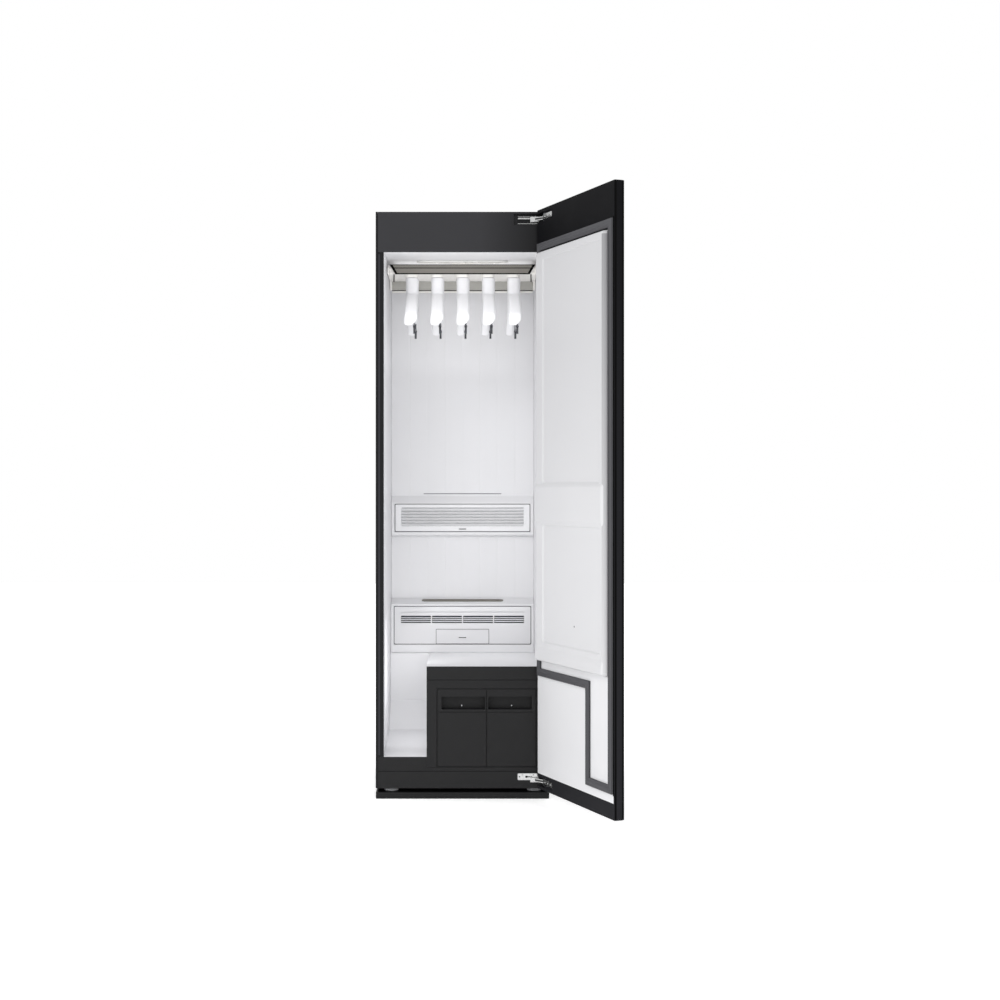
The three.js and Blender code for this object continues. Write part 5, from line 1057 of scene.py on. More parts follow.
rail = {
    "front": -115, "topZ": 1809.5, "stepZ": 1797.6, "bottomZ": 1777, "lean": 7, "thick": 5,
    "grooveDepth": 2.8, "chamfer": 1.6, "heel": (3, 2.6), "topHalf": 247, "mitre": 19, "half": 252,
    "endThick": 7, "corner": 14, "edge": 0.8,
    # painted shadow lines along the beam's seams: offset from its top, step or foot, then height and how far
    # proud
    "topLine": (-1, 2, 0.3), "stepLine": (0, 2.4, 0.3), "footLine": (1.6, 3.6, 0.5), "lineDeep": 3,
    "seamWide": 4.4, "seamProud": 0.5, "seamX": (235, 243.5), "seamY": (-101, 88), "seamFoot": (3.6, 1),
    "rear": 89, "rearThick": 4, "rearZ": (1745, 1777), "rearLip": (1.4, 2.4),
    "rearShadowY": (-0.6, 3), "ledge": (1736.5, 1742.6), "ledgeY": (-2, 3),
    "collar": (21, 29, 12), "collarBore": (18.5, 21.5, 9), "collarZ": (1766.6, 1778),
}


def makeRail():
    look = rail
    front, thick, top, low = look["front"], look["thick"], look["topZ"], look["bottomZ"]
    step, groove, chamfer = look["stepZ"], look["grooveDepth"], look["chamfer"]
    heelHigh, heelDeep = look["heel"]

    def leaned(z):                       # how far the leaning face has gone back at this height
        return front + look["lean"] * (top - z) / (top - low)

    section = [(leaned(top) + chamfer, top), (leaned(top), top - chamfer),
               (leaned(step + chamfer), step + chamfer), (leaned(step) + groove, step),
               (leaned(step - 1), step - 1), (leaned(low + heelHigh), low + heelHigh),
               (leaned(low) + heelDeep, low), (leaned(low) + thick, low), (leaned(top) + thick, top)]
    rings = []
    for side in (-1, 1):
        rings.append([(side * (look["topHalf"] - look["mitre"] * (top - z) / (top - low)), y, z)
                      for y, z in section])
    beam = makePiece("rail_beam", [loftShape(rings)], "taupeMoulding")
    bevelled(beam, 0.6)
    seated(beam, "cabinet", "taupe_moulding", "rail_front_beam")

    deep, proud = look["lineDeep"], look["seamProud"]

    def line(edge, offset, high, out):       # a strip of painted shadow along the beam's face
        at = edge + offset
        half, face = look["topHalf"] - look["mitre"] * (top - at) / (top - low), leaned(at)
        return blockShape((-half, half), (face - out, face + deep), (at - high / 2, at + high / 2))

    seams = [line(top, *look["topLine"]), line(step, *look["stepLine"]), line(low, *look["footLine"])]
    wide, half, (footWide, footHigh) = look["seamWide"], look["topHalf"], look["seamFoot"]
    mitreEnds = ((half, front - proud, top), (half - look["mitre"], leaned(low) - proud, low))
    mitre = ((-wide, 0), (wide, 0), (wide, deep), (-wide, deep))
    foot = ((0, low - footHigh), (footWide, low - footHigh), (footWide, low), (0, low))
    for side in (-1, 1):
        seams.append(loftShape([[(side * (x + a), y + b, z) for a, b in mitre] for x, y, z in mitreEnds]))
        seams.append(loftShape([[(side * (x + a), y, z) for a, z in foot]
                                for x, y in zip(look["seamX"], look["seamY"])]))
    seated(makePiece("rail_seam_shadows", seams, "jointPaintedShadow"), "cabinet", "black_moulding")
    corner, rear = look["corner"], look["rear"]
    end = [(front, top - corner), (front + corner, top), (rear, top), (rear, look["rearZ"][0]),
           (rear - corner, look["rearZ"][0]), (rear - corner * 2, low), (front, low)]
    half, outer = look["half"], look["half"] + look["endThick"]
    ends = [prismShape(end, span, 0) for span in ((-outer, -half), (half, outer))]
    frameEnds = makePiece("rail_ends", ends, "creamMoulding")
    bevelled(frameEnds, look["edge"])
    seated(frameEnds, "cabinet", "cream_moulding", "rail_frame")
    (z0, z1), (lipY, lipZ) = look["rearZ"], look["rearLip"]
    back = [(rear, z0 + lipZ), (rear, z1), (rear + look["rearThick"], z1), (rear + look["rearThick"], z0),
            (rear + lipY, z0), (rear + lipY, z0 + lipZ)]
    strip = makePiece("rail_rear_strip", [prismShape(back, (-half, half), 0)], "taupePaintedLight")
    bevelled(strip, 0.4)
    seated(strip, "cabinet", "taupe_moulding")
    # a dark strip under the rear strip paints the shadow line there
    shadowStrip = blockShape((-half, half), [rear + at for at in look["rearShadowY"]], (look["ledge"][1], z0))
    seated(makePiece("rail_rear_shadow", [shadowStrip], "jointPaintedShadow"), "cabinet", "black_moulding")
    shelf = blockShape((-half, half), [rear + at for at in look["ledgeY"]], look["ledge"])
    ledge = makePiece("rail_rear_ledge", [shelf], "creamMoulding")
    seated(bevelled(ledge, 0.6), "cabinet", "cream_moulding")
    y, collars = hanger["y"], []
    for x in hangerPlaces:
        rims = [roundedOutline((x - half, x + half), (y - deep, y + deep), corner)
                for half, deep, corner in (look["collar"], look["collarBore"])]
        collars.append(ringBand(*rims, look["collarZ"], 2))
    collars = makePiece("nozzle_collars", collars, "creamMoulding")
    seated(bevelled(collars, look["edge"]), "cabinet", "cream_moulding")


makeRail()
print("rail made")


# Air hangers: one blended moulding, hollow at the neck, with blowing slots in both flanks of each arm

def hangerMatrix(x):                     # from the hanger's own axes to the cabinet's, in metres
    place = Vector((x + hanger["offset"], hanger["y"], 0)) * unit
    return Matrix.Translation(place) @ Matrix.Rotation(hanger["turn"], 4, "Z")


def armCentre(y):
    look = hanger
    return look["crown"] - look["drop"] * (abs(y) / look["reach"]) ** look["curve"]


def squarish(angle, power):
    c, s = math.cos(angle), math.sin(angle)
    return math.copysign(abs(c) ** (2 / power), c), math.copysign(abs(s) ** (2 / power), s)


def armRing(y, inset):
    look, sides = hanger, hanger["sides"]
    share = abs(y) / look["reach"]
    up = look["high"][0] + (look["high"][1] - look["high"][0]) * share - inset
    half, ring = look["half"] - inset, []
    for i in range(sides):
        angle = 2 * math.pi * i / sides
        lowerRight = math.cos(angle) > 0 > math.sin(angle)
        across, rise = squarish(angle, look["cornerSquareness"] if lowerRight else look["squareness"])
        below = (1 - rise) / 2
        swell = look["flare"] * below * share ** look["flarePower"] if across < 0 else 0
        slim = look["narrow"] * share ** 2 if across > 0 and y > 0 else 0
        ring.append((half * across * (1 - slim) - swell, y, armCentre(y) + up * rise))
    return ring


def socketShape(sizes):                  # spigot or bore, which stay on their socket's centre
    half, deep, corner, low, high = sizes
    aside = -hanger["offset"]
    return prismShape(roundedOutline((aside - half, aside + half), (-deep, deep), corner), (low, high), 2)


def hangerShapes():
    look = hanger
    reach, soft, sides, steps = look["reach"], look["endRound"], look["sides"], look["endSteps"]
    turns = [math.pi / 2 / steps * i for i in range(steps + 1)]
    stops = [(reach - soft * (1 - math.cos(turn)), soft * (1 - math.sin(turn))) for turn in turns]
    spread = reach - soft
    middle = [(-spread + 2 * spread * i / look["stations"], 0) for i in range(1, look["stations"])]
    rings = [armRing(-y, inset) for y, inset in stops] + [armRing(y, inset) for y, inset in middle]
    rings += [armRing(y, inset) for y, inset in reversed(stops)]
    neck = []
    for z, half, deep in look["neck"]:
        ring = [squarish(2 * math.pi * i / sides, look["neckSquareness"]) for i in range(sides)]
        neck.append([(half * a, deep * b, z) for a, b in ring])
    return [loftShape(rings), loftShape(neck), socketShape(look["spigot"])]


def makeHangers():
    look = hanger
    master = makePiece("hangerMaster", hangerShapes(), "glossWhiteAbs", 60)
    blend = master.modifiers.new("blended", "REMESH")
    blend.mode = "VOXEL"
    blend.voxel_size = look["voxel"] * unit
    blend.use_smooth_shade = True
    settle(master)
    calm = master.modifiers.new("smoothed", "SMOOTH")
    calm.factor = look["smoothShare"]
    calm.iterations = look["smoothTurns"]
    settle(master)
    carved(master, [socketShape(look["bore"])])
    slots = []
    for share in look["slots"]:
        for end in (-1, 1):
            y = end * share * look["reach"]
            z, reach, slim = armCentre(y), look["slotLength"] / 2, look["slotHalf"]
            outline = roundedOutline((y - reach, y + reach), (z - slim, z + slim), look["slotCorner"])
            for side in (-1, 1):
                near = side * (look["half"] - look["slotDepth"])
                far = side * (look["half"] + look["slotPast"])
                slots.append(prismShape(outline, (min(near, far), max(near, far)), 0))
    for slot in slots:
        carved(master, [slot])
    smoothPiece(master, 45)
    for i, x in enumerate(hangerPlaces):
        mesh = master.data.copy()
        mesh.transform(hangerMatrix(x))
        mesh.materials.clear()
        mesh.materials.append(shades["glossWhiteAbs"])
        piece = bpy.data.objects.new(f"hanger_form_{i + 1}", mesh)
        bpy.context.collection.objects.link(piece)
        seated(piece, f"hanger_{i + 1}", "white_moulding", f"air_hanger_{i + 1}")
    bpy.data.objects.remove(master)


makeHangers()

# Trouser bars: a bent wire with two sprung clips each

bar = {
    "x": 9, "half": 126, "z": 1590, "bend": 9, "wire": 2, "clipY": 92, "clipHalf": 3.6, "sheet": 1.3,
    "mouth": 0.8, "clipTop": 1596, "clipWaist": 1582, "gripHigh": 10, "clipFoot": 1565, "clipEdge": 0.3,
    "pad": 2.2, "padHalf": 3.2, "padZ": (0.6, 12), "padGap": 0.1,
    "jawGap": (1.0, 3.6, 3.4),         # half gap at the clip's top, wire and waist
    "wireSunk": 16,                    # how far the wire's ends stay under the arm's middle
    "barrel": [(3.2, -4.8), (3.5, -4.3), (3.5, 4.3), (3.2, 4.8)],     # radius and place along the wire's axis
}


def jawShape(side, y):
    look = bar
    grip, thick = look["mouth"] + look["pad"], look["sheet"]
    foot = look["clipFoot"]
    inner = list(zip(look["jawGap"], (look["clipTop"], look["z"], look["clipWaist"])))
    inner += [(grip, foot + look["gripHigh"]), (grip, foot)]
    outer = [(a + thick, z) for a, z in reversed(inner)]
    outline = [(y + side * a, z) for a, z in inner + outer]
    return prismShape(outline, (look["x"] - look["clipHalf"], look["x"] + look["clipHalf"]), 0)


def makeTrouserBars():
    look = bar
    for i, x in enumerate(hangerPlaces):
        high = armCentre(look["half"]) - look["wireSunk"]
        route = [(look["x"], -look["half"], high), (look["x"], -look["half"], look["z"]),
                 (look["x"], look["half"], look["z"]), (look["x"], look["half"], high)]
        # the wire and clips take the darkened chrome: painted reflection
        wire = wirePiece(f"bar_wire_{i + 1}", [route], look["wire"], look["bend"], "chromePaintedReflection")
        wire.data.transform(hangerMatrix(x))
        seated(wire, f"hanger_{i + 1}", "bright_steel", f"trouser_bar_{i + 1}")
        steel, rubber = [], []
        for y in (-look["clipY"], look["clipY"]):
            steel += [jawShape(-1, y), jawShape(1, y),
                      turnedShape(look["barrel"], (look["x"], y, look["z"]), 0, 20)]
            near, thick = look["mouth"], look["pad"] - look["padGap"]
            across = (look["x"] - look["padHalf"], look["x"] + look["padHalf"])
            rows = [look["clipFoot"] + at for at in look["padZ"]]
            rubber += [blockShape(across, (y - near - thick, y - near), rows),
                       blockShape(across, (y + near, y + near + thick), rows)]
        clips = makePiece(f"bar_clips_{i + 1}", steel, "chromePaintedReflection", 30, hangerMatrix(x))
        bevelled(clips, look["clipEdge"])
        seated(clips, f"hanger_{i + 1}", "bright_steel")
        pads = makePiece(f"clip_pads_{i + 1}", rubber, "texturedBlackAbs", 30, hangerMatrix(x))
        seated(pads, f"hanger_{i + 1}", "black_moulding")


makeTrouserBars()
print("hangers made")


# Tank covers: the CAD form with a shadow groove under the recess and a level dot inside it

cover = {"grooveZ": (287.9, 290.9), "grooveDepth": 2.3, "rebate": 1.9, "rebateDepth": 2.2, "dotZ": 307.5,
         "dotRadius": 2.6, "recessDeep": 29, "rebatePast": 4, "groovePast": 3, "edge": 0.5,
         # the level dot's section: share of its radius, and place behind the recess's back
         "dot": ((0.6, -1.4), (0.9, -1.1), (1, -0.5), (1, 0.8)),
         "dots": {"supply_tank_cover": -2.7, "drain_tank_cover": 165}}


def makeCovers():
    look = cover
    for node, dotX in look["dots"].items():
        (x0, x1), spanY, (z0, z1) = boxOf(node)
        piece = copyOf(node, node + "_moulding", "texturedBlackAbs")
        front, past = spanY[0], look["rebatePast"]
        rims = [[(x0 - a, z0 - a), (x1 + a, z0 - a), (x1 + a, z1 + a), (x0 - a, z1 + a)]
                for a in (past, -look["rebate"])]
        carved(piece, [ringBand(*rims, (front - past, front + look["rebateDepth"]), 1)])
        past = look["groovePast"]
        groove = ((x0 - past, x1 + past), (front - past, front + look["grooveDepth"]), look["grooveZ"])
        carved(piece, [blockShape(*groove)])
        bevelled(piece, look["edge"])
        seated(piece, bodyOf[node], "black_moulding", node)
        back = front + look["recessDeep"]
        profile = [(look["dotRadius"] * share, back + at) for share, at in look["dot"]]
        button = turnedShape(profile, (dotX, 0, look["dotZ"]), 1, 24)
        dot = makePiece(node + "_dot", [button], "greyPolypropylene", 40)
        seated(dot, bodyOf[node], "grey_moulding")


makeCovers()


# Chassis: a folded pan and skirt on four grey levelling feet

chassis = {
    "panX": 288.5, "panY": (-274.7, 292), "panZ": (35, 38), "skirtX": 284, "sheet": 3, "skirtZ": (21.3, 35.3),
    "skirtFront": -214.5, "feet": (240, 245),
    # radius and height of the foot: pad, dome, hexagon nut seat, threaded stem
    "foot": [(22.5, 21.3), (24.5, 22.3), (24.5, 26), (23.4, 27.3), (19.6, 30.6), (12, 31.6), (10, 31.6),
             (10, 35.2), (6, 35.2), (6, 61), (5, 62)],
}


def makeChassis():
    look = chassis
    x, sheet, y1 = look["skirtX"], look["sheet"], look["panY"][1]
    walls = [blockShape((-look["panX"], look["panX"]), look["panY"], look["panZ"]),
             blockShape((-x, -x + sheet), look["panY"], look["skirtZ"]),
             blockShape((x - sheet, x), look["panY"], look["skirtZ"]),
             blockShape((-x, x), (look["skirtFront"], look["skirtFront"] + sheet), look["skirtZ"]),
             blockShape((-x, x), (y1 - sheet, y1), look["skirtZ"])]
    pan = makePiece("chassis_pan", walls, "powderCoatedSteel")
    seated(pan, "cabinet", "cabinet_black", "chassis_with_feet")
    footX, footY = look["feet"]
    rowsOf("levelling_feet", [turnedShape(look["foot"], (-footX, -footY, 0), 2, 40)], "greyPolypropylene",
           "cabinet", "grey_moulding", 2, (2 * footX, 0, 0), 2, (0, 2 * footY, 0))


makeChassis()


# Concealed hinges

hinge = {
    # height of arm and plate, and the plate's rear face; height of the leaf
    "plates": {"lower": (64, 74, -295.3), "upper": (1934, 1934, -283.3)},
    "leaves": {"lower": 69.5, "upper": 1931},
    "plateX": (184, 253), "plateHalf": 11, "plateThick": 2.6, "corner": 3, "plateEdge": 0.5, "edge": 0.4,
    "keyholeX": (209.5, 218), "keyholeHalf": 3.4, "keyholeCorner": 3.3, "slitX": (217, 226), "slitHalf": 1.3,
    "holes": ((190.5, 0, 2.1), (229.5, 1, 1.7)),        # place along the plate, rise, radius
    "screwX": (200, 236), "screwRise": 6.8, "screwRadius": 2.4,
    # housing of the arm: its nose back from the front and past the arm, then its skirt at the plate
    "armX": 226, "armHalf": 5.4, "armFront": 1.2, "nose": ((0, 1.6), (1.4, 3.2)), "skirt": (0.6, 5),
    "cheek": 2.6, "knuckle": 7, "linkRadius": 6.6, "linkStart": (9, 4.5), "coreRadius": 4.6,
    "rivet": ((2.6, 4.4), (2.4, 5.2), (1.4, 5.7), (0.3, 5.8)), "rivetX": (234, 244), "rivetY": 6,
    # spring rods: radius of tip and shank, how far before the plate, rise, sides
    "rods": ((1.9, 2.3, 2.4, 4, 20), (0.9, 1.1, 1.4, 10, 16)), "rodX": (185, 185.6, 227, 227.6),
    "lip": ((0, 4), (-3, 0.2), (-2.6, -1.2)),           # folded under the plate, from its three edges
    "leafX": (168, 236), "leafHalf": 8.8, "leafThick": 2.7, "leafSunk": 0.4,
    "leafScrewX": (177.6, 200, 222.4), "leafScrewOut": 0.6,
    "ear": (5.7, 8.6), "earRoot": (-4, -7), "earFootX": (-12, 1), "earFootY": (-9, -0.5),
    # radius and height of the pin with its two heads
    "pin": ((3.4, -10.4), (4.4, -10), (4.4, -8.7), (3, -8.6), (3, 8.6), (4.4, 8.7), (4.4, 10), (3.4, 10.4)),
}


def capsule(start, end, radius, steps=8):   # outline of a link with round ends, in its own plane
    a = math.atan2(end[1] - start[1], end[0] - start[0])
    points = []
    for centre, first in ((end, a - math.pi / 2), (start, a + math.pi / 2)):
        for i in range(steps + 1):
            angle = first + math.pi * i / steps
            points.append((centre[0] + radius * math.cos(angle), centre[1] + radius * math.sin(angle)))
    return points


def makeHingeArm(label):
    look = hinge
    z, plateZ, back = look["plates"][label]
    root, (x0, x1) = back - look["plateThick"], look["plateX"]
    plateSpan = (plateZ - look["plateHalf"], plateZ + look["plateHalf"])
    blank = prismShape(roundedOutline((x0, x1), plateSpan, look["corner"]), (root, back), 1)
    plate = makePiece(label + "_hinge_plate", [blank], "nickelPlatedSteel")
    dark = label == "upper"
    through, half, slit = (root - overcut, back + overcut), look["keyholeHalf"], look["slitHalf"]
    keyhole = roundedOutline(look["keyholeX"], (plateZ - half, plateZ + half), look["keyholeCorner"])
    holes = [prismShape(keyhole, through, 1),
             blockShape(look["slitX"], through, (plateZ - slit, plateZ + slit))]
    for x, rise, radius in look["holes"]:
        holes.append(turnedShape([(radius, at) for at in through], (x, 0, plateZ + rise), 1, 16))
    for hole in holes:
        carved(plate, [hole])
    bevelled(plate, look["plateEdge"])
    shade, slot = ("powderCoatedSteel", "cabinet_black") if dark else ("nickelPlatedSteel", "bright_steel")
    plate.data.materials.clear()
    plate.data.materials.append(shades[shade])
    seated(plate, "cabinet", slot, label + "_hinge_arm")
    front = door["inner"] + look["armFront"]
    low, high = z - look["armHalf"], z + look["armHalf"]
    nose, (sunk, skirt), cheek = look["nose"], look["skirt"], look["cheek"]
    section = [(front + a, low - b) for a, b in reversed(nose)] + [(front + a, high + b) for a, b in nose]
    section += [(root + sunk, high + skirt), (root + sunk, low - skirt)]
    arms = [prismShape(section, (look["armX"], x1 + 1), 0)]
    start, end = (x1 - look["linkStart"][0], front + look["linkStart"][1]), door["hinge"]
    for span in ((low, low + cheek), (high - cheek, high)):
        arms.append(prismShape(capsule(start, end, look["linkRadius"]), span, 2))
    rivet = [(radius, high + rise) for radius, rise in look["rivet"]]
    arms += [turnedShape(rivet, (x, front + look["rivetY"], 0), 2, 20) for x in look["rivetX"]]
    if dark:
        for tip, shank, out, rise, sides in look["rods"]:
            profile = list(zip((tip, shank, shank, tip), look["rodX"]))
            arms.append(turnedShape(profile, (0, root - out, z + rise), 0, sides))
        (left, right), depth, rows = look["lip"]
        arms.append(blockShape((x0 + left, x1 + right), [root + at for at in depth],
                               [plateSpan[0] + at for at in rows]))
    links = makePiece(label + "_hinge_links", arms, "nickelPlatedSteel")
    bevelled(links, look["edge"])
    seated(links, "cabinet", "bright_steel")
    filling = prismShape(capsule(start, end, look["coreRadius"]), (low + cheek, high - cheek), 2)
    core = makePiece(label + "_hinge_core", [filling], "stovedEnamel")
    seated(core, "cabinet", "black_moulding")
    heads = []
    for x in look["screwX"]:
        heads += screwShapes((x, root - 0.2, plateZ + look["screwRise"]), 1, -1, look["screwRadius"])
    screws = makePiece(label + "_plate_screws", heads, shade)
    seated(screws, "cabinet", slot)


def makeHingeBracket(label):
    look = hinge
    z, leafZ = look["plates"][label][0], look["leaves"][label]
    inner, (x0, x1) = door["inner"], look["leafX"]
    spanY = (inner - look["leafThick"], inner + look["leafSunk"])
    spanZ = (leafZ - look["leafHalf"], leafZ + look["leafHalf"])
    blank = prismShape(roundedOutline((x0, x1), spanZ, look["corner"]), spanY, 1)
    leaf = doorPiece(label + "_leaf", [blank], "nickelPlatedSteel")
    bevelled(leaf, look["plateEdge"])
    seated(leaf, "door", "bright_steel", label + "_hinge_bracket")
    root = (x1 + look["earRoot"][0], inner + look["earRoot"][1])
    footX, footY = [x1 + at for at in look["earFootX"]], [inner + at for at in look["earFootY"]]
    plates = []
    for side in (-1, 1):
        span = sorted(z + side * at for at in look["ear"])
        plates.append(prismShape(capsule(root, door["hinge"], look["knuckle"]), span, 2))
        plates.append(blockShape(footX, footY, span))
    # the ears take the same darkened chrome: painted reflection
    ears = doorPiece(label + "_ears", plates, "chromePaintedReflection")
    bevelled(ears, look["edge"])
    seated(ears, "door", "bright_steel")
    pin = [turnedShape(look["pin"], (*door["hinge"], z), 2, 24)]
    for x in look["leafScrewX"]:
        pin += screwShapes((x, inner + look["leafScrewOut"], leafZ), 1, 1, look["screwRadius"])
    seated(doorPiece(label + "_pin", pin, "nickelPlatedSteel"), "door", "bright_steel")


for label in hinge["plates"]:
    makeHingeArm(label)
for label in hinge["leaves"]:
    makeHingeBracket(label)
print("hinges made")


# Back: stiffening beads, screws along the edges and hoods over the louvres

back = {
    "face": 295, "sunk": 0.3, "screwRadius": 3.6, "screwZ": (75, 1925), "screws": 9, "screwX": 282,
    "topScrews": 5, "topStep": 118, "topZ": 1947,
    "beadX": (-170, 0, 170), "beadZ": (520, 1820), "beadRise": 2.4,
    "beadLevels": ((16, 0), (12, 0.5), (8, 0.85), (6, 1)),     # width, and share of the rise
    "hoodRows": 10, "hoodPitch": 21, "hoodHalf": 85, "hoodX": 105, "middle": 245, "coverFace": 297.3,
    "hoodY": (-0.2, 4.5), "hoodRoot": (2.8, 10), "hoodLip": (1.2, 2.2), "hoodDraft": 5,
    "coverScrewX": 231, "coverScrewZ": (75, 415), "coverScrewOut": 0.1,
}


def stadiumRing(x, halfWide, spanZ, y, steps=8):
    outline = roundedOutline((x - halfWide, x + halfWide), spanZ, halfWide, steps)
    return [(a, y, b) for a, b in outline]


def makeBack():
    look = back
    face, radius = look["face"] - look["sunk"], look["screwRadius"]
    head = screwShapes((-look["screwX"], look["face"], look["screwZ"][0]), 1, 1, radius)
    step = (look["screwZ"][1] - look["screwZ"][0]) / (look["screws"] - 1)
    rowsOf("rear_screws", head, "zincCoatedSheet", "cabinet", "zinc_sheet", look["screws"], (0, 0, step), 2,
           (2 * look["screwX"], 0, 0))
    head = screwShapes((-look["topStep"] * 2, look["face"], look["topZ"]), 1, 1, radius)
    rowsOf("rear_top_screws", head, "zincCoatedSheet", "cabinet", "zinc_sheet", look["topScrews"],
           (look["topStep"], 0, 0))
    z0, z1 = look["beadZ"]
    rings = []
    for across, rise in look["beadLevels"]:
        inset = (look["beadLevels"][0][0] - across) / 2
        rings.append(stadiumRing(look["beadX"][0], across / 2, (z0 + inset, z1 - inset),
                                 face + look["beadRise"] * rise))
    bead = loftShape(rings)
    rowsOf("rear_beads", [bead], "zincCoatedSheet", "cabinet", "zinc_sheet", len(look["beadX"]),
           (look["beadX"][1] - look["beadX"][0], 0, 0))
    y, low = look["coverFace"], look["middle"] - look["hoodPitch"] * (look["hoodRows"] - 1) / 2
    x0, x1 = -look["hoodX"] - look["hoodHalf"], -look["hoodX"] + look["hoodHalf"]
    points, (rootY, lipY), draft = [], look["hoodY"], look["hoodDraft"]
    for out, (foot, top), ends in ((rootY, look["hoodRoot"], (x0, x1)),
                                   (lipY, look["hoodLip"], (x0 + draft, x1 - draft))):
        points += [(x, y + out, low + foot) for x in ends]
        points += [(x, y + out, low + top) for x in reversed(ends)]
    faces = [(0, 1, 2, 3), (4, 7, 6, 5), (0, 4, 5, 1), (3, 2, 6, 7), (0, 3, 7, 4), (1, 5, 6, 2)]
    rowsOf("cover_louvre_hoods", [(points, faces)], "zincCoatedSheet", "cabinet", "zinc_sheet",
           look["hoodRows"], (0, 0, look["hoodPitch"]), 2, (2 * look["hoodX"], 0, 0))
    spot = (-look["coverScrewX"], y + look["coverScrewOut"], look["coverScrewZ"][0])
    head = screwShapes(spot, 1, 1, radius)
    rise = (look["coverScrewZ"][1] - look["coverScrewZ"][0]) / 2
    rowsOf("cover_screws", head, "zincCoatedSheet", "cabinet", "zinc_sheet", 2,
           (2 * look["coverScrewX"], 0, 0), 3, (0, 0, rise))


makeBack()


# Machine space: finned coil with copper hairpins, and the blower's wheel

coil = {"spanX": (-99, 89), "spanY": (60, 118), "spanZ": (50, 300), "fins": 58, "fin": 0.5,
        "finInset": 1, "endThick": 2, "footLong": 9, "footZ": 38.3, "edge": 0.3,
        "tubeRadius": 4, "tubeRows": 4, "tubeInset": 15, "hairpin": 9, "riseShare": 0.4}


def makeCoil():
    look = coil
    (x0, x1), (y0, y1), (z0, z1) = look["spanX"], look["spanY"], look["spanZ"]
    step = (x1 - x0 - look["fin"]) / (look["fins"] - 1)
    inset, thick, low = look["finInset"], look["endThick"], look["footZ"]
    fin = blockShape((x0, x0 + look["fin"]), (y0 + inset, y1 - inset), (z0 + inset, z1 - inset))
    fins = rowsOf("coil_fins", [fin], "millAluminium", "cabinet", "fin_aluminium", look["fins"], (step, 0, 0))
    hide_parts("heat_exchanger")
    ends = []
    for plate, foot in (((x0 - thick, x0), (x0 - thick - look["footLong"], x0)),
                        ((x1, x1 + thick), (x1, x1 + thick + look["footLong"]))):
        ends.append(blockShape(plate, look["spanY"], (low, z1)))
        ends.append(blockShape(foot, look["spanY"], (low, low + thick)))
    ends = makePiece("coil_ends", ends, "zincCoatedSheet")
    seated(bevelled(ends, look["edge"]), "cabinet", "zinc_sheet")
    pitch = (z1 - z0) / look["tubeRows"]
    routes = []
    for i in range(look["tubeRows"]):
        z = z0 + pitch * (i + 0.5)
        for y in (y0 + look["tubeInset"], y1 - look["tubeInset"]):
            end, turn, rise = x1 + thick, x0 - look["hairpin"], z + pitch * look["riseShare"]
            routes.append([(end, y, z), (turn, y, z), (turn, y, rise), (end, y, rise)])
    tubes = wirePiece("coil_tubes", routes, look["tubeRadius"], look["hairpin"], "drawnCopper")
    seated(tubes, "cabinet", "bright_steel")


wheel = {
    "centre": (0, 14, 1897), "half": 30, "outer": 41, "inner": 32, "sides": 64, "ringThick": 3,
    "blades": 32, "bladeHalf": 27.4, "bladeInset": 0.4, "bladeSteps": 5, "thick": 1.1, "lean": 6,
    "sweepPower": 1.7,
    # radius and place of the hub, with the disc that carries the blades in its middle
    "hub": ((4.2, -31), (9, -30.4), (9, -2), (20, 0), (40.5, 1), (40.5, 3), (20, 2.6), (9, 6), (9, 30.4),
            (4.2, 31)),
}


def makeWheel():
    look = wheel
    half, sides, steps = look["bladeHalf"], look["sides"], look["bladeSteps"]
    near, far = look["inner"] + look["bladeInset"], look["outer"] - look["bladeInset"]
    shares = [i / steps for i in range(steps + 1)]
    outline = [(look["lean"] * share ** look["sweepPower"], near + (far - near) * share) for share in shares]
    outline += [(y + look["thick"], r) for y, r in reversed(outline)]
    blade = makePiece("blower_blades", [prismShape(outline, (-half, half), 0)], "glassFilledNylon")
    grown(blade, "ring", Count=look["blades"], Centre=inMetres(*look["centre"]),
          Material=shades["glassFilledNylon"])
    seated(blade, "fan_wheel", "grey_moulding")
    _, cy, cz = look["centre"]

    def circle(radius):
        turns = [2 * math.pi * i / sides for i in range(sides)]
        return [(radius * math.cos(turn) + cy, radius * math.sin(turn) + cz) for turn in turns]

    half, thick = look["half"], look["ringThick"]
    rings = [ringBand(circle(look["outer"]), circle(look["inner"]), span, 0)
             for span in ((-half, -half + thick), (half - thick, half))]
    hub = turnedShape(look["hub"], (0, cy, cz), 0, sides)
    frameRings = makePiece("blower_rings", rings, "glassFilledNylon")
    seated(frameRings, "fan_wheel", "grey_moulding", "blower_wheel")
    seated(makePiece("blower_hub", [hub], "glassFilledNylon"), "fan_wheel", "grey_moulding")


makeCoil()
makeWheel()
print("back and machine made")


# Floor, light and sky

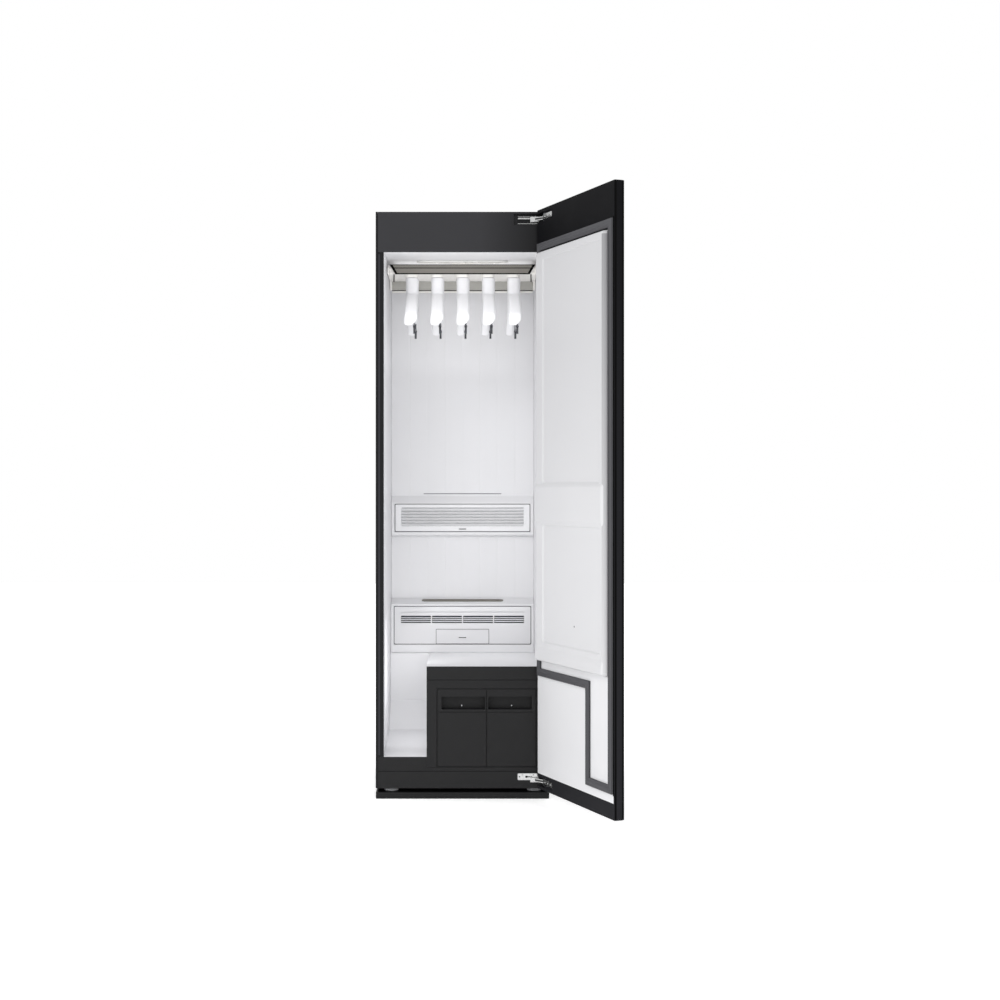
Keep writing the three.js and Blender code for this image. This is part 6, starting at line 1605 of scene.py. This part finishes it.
stage = {
    "floorSize": 24000, "floorColour": "#ffffff", "floorGlow": 0.35, "skyColour": "#ffffff",
    "skyStrength": 1.0,
    # name, place, aim, width, height, watts
    "lamps": [
        ("keySoftbox", (-2600, -4200, 3600), (0, 0, 1100), 2200, 2200, 60),
        ("fillSoftbox", (2800, -4000, 2200), (0, 0, 900), 2600, 2600, 30),
        ("chamberFill", (0, -300, 1220), (0, 300, 1220), 500, 1200, 0.92),
        ("risingFill", (0, -60, 1440), (0, -60, 1800), 480, 380, 0.25),
        ("underRailFill", (0, -10, 1715), (0, -10, 1800), 480, 140, 0.06),
        ("upperBackFill", (0, 112, 1700), (0, 300, 1700), 480, 110, 0.09),
        ("railFill", (0, -20, 1811), (0, -20, 1900), 480, 150, 0.15),
        ("floorFill", (50, 40, 610), (50, 40, 480), 380, 240, 0.1),
        ("wellFill", (-178, -225, 430), (-185, 300, 430), 100, 300, 0.42),
        ("frontFill", (300, -2600, 300), (100, -300, 0), 2600, 500, 1.7),
    ],
}


def makeStage():
    half = stage["floorSize"] / 2
    shades["paleFloor"] = surfaceFinish("paleFloor", {
        "colour": stage["floorColour"], "tint": "#ffffff", "roughness": (0.7, 0.8), "cloud": 900, "grain": 40,
        "bump": 0.02, "height": 0.2, "specular": 0.2, "glow": stage["floorGlow"]})
    floor = makePiece("floor", [([(-half, -half, 0), (half, -half, 0), (half, half, 0), (-half, half, 0)],
                                 [(0, 1, 2, 3)])], "paleFloor")
    for name, place, aim, width, height, watts in stage["lamps"]:
        lamp = bpy.data.lights.new(name, "AREA")
        lamp.shape = "RECTANGLE"
        lamp.size = width * unit
        lamp.size_y = height * unit
        lamp.energy = watts
        stand = bpy.data.objects.new(name, lamp)
        stand.visible_camera = False   # softboxes stay out of the picture and of its reflections
        stand.visible_glossy = False
        stand.location = Vector(place) * unit
        stand.rotation_euler = (Vector(aim) - Vector(place)).to_track_quat("-Z", "Y").to_euler()
        bpy.context.collection.objects.link(stand)
    world = bpy.data.worlds.new("studio")
    world.use_nodes = True
    world.node_tree.nodes.clear()
    sky = addNode(world.node_tree, "ShaderNodeBackground", {
        "Color": linear(stage["skyColour"]), "Strength": stage["skyStrength"]})
    addNode(world.node_tree, "ShaderNodeOutputWorld", {"Surface": sky.outputs["Background"]})
    bpy.context.scene.world = world
    bpy.context.scene.view_settings.view_transform = "Standard"


makeStage()

print("stage made")
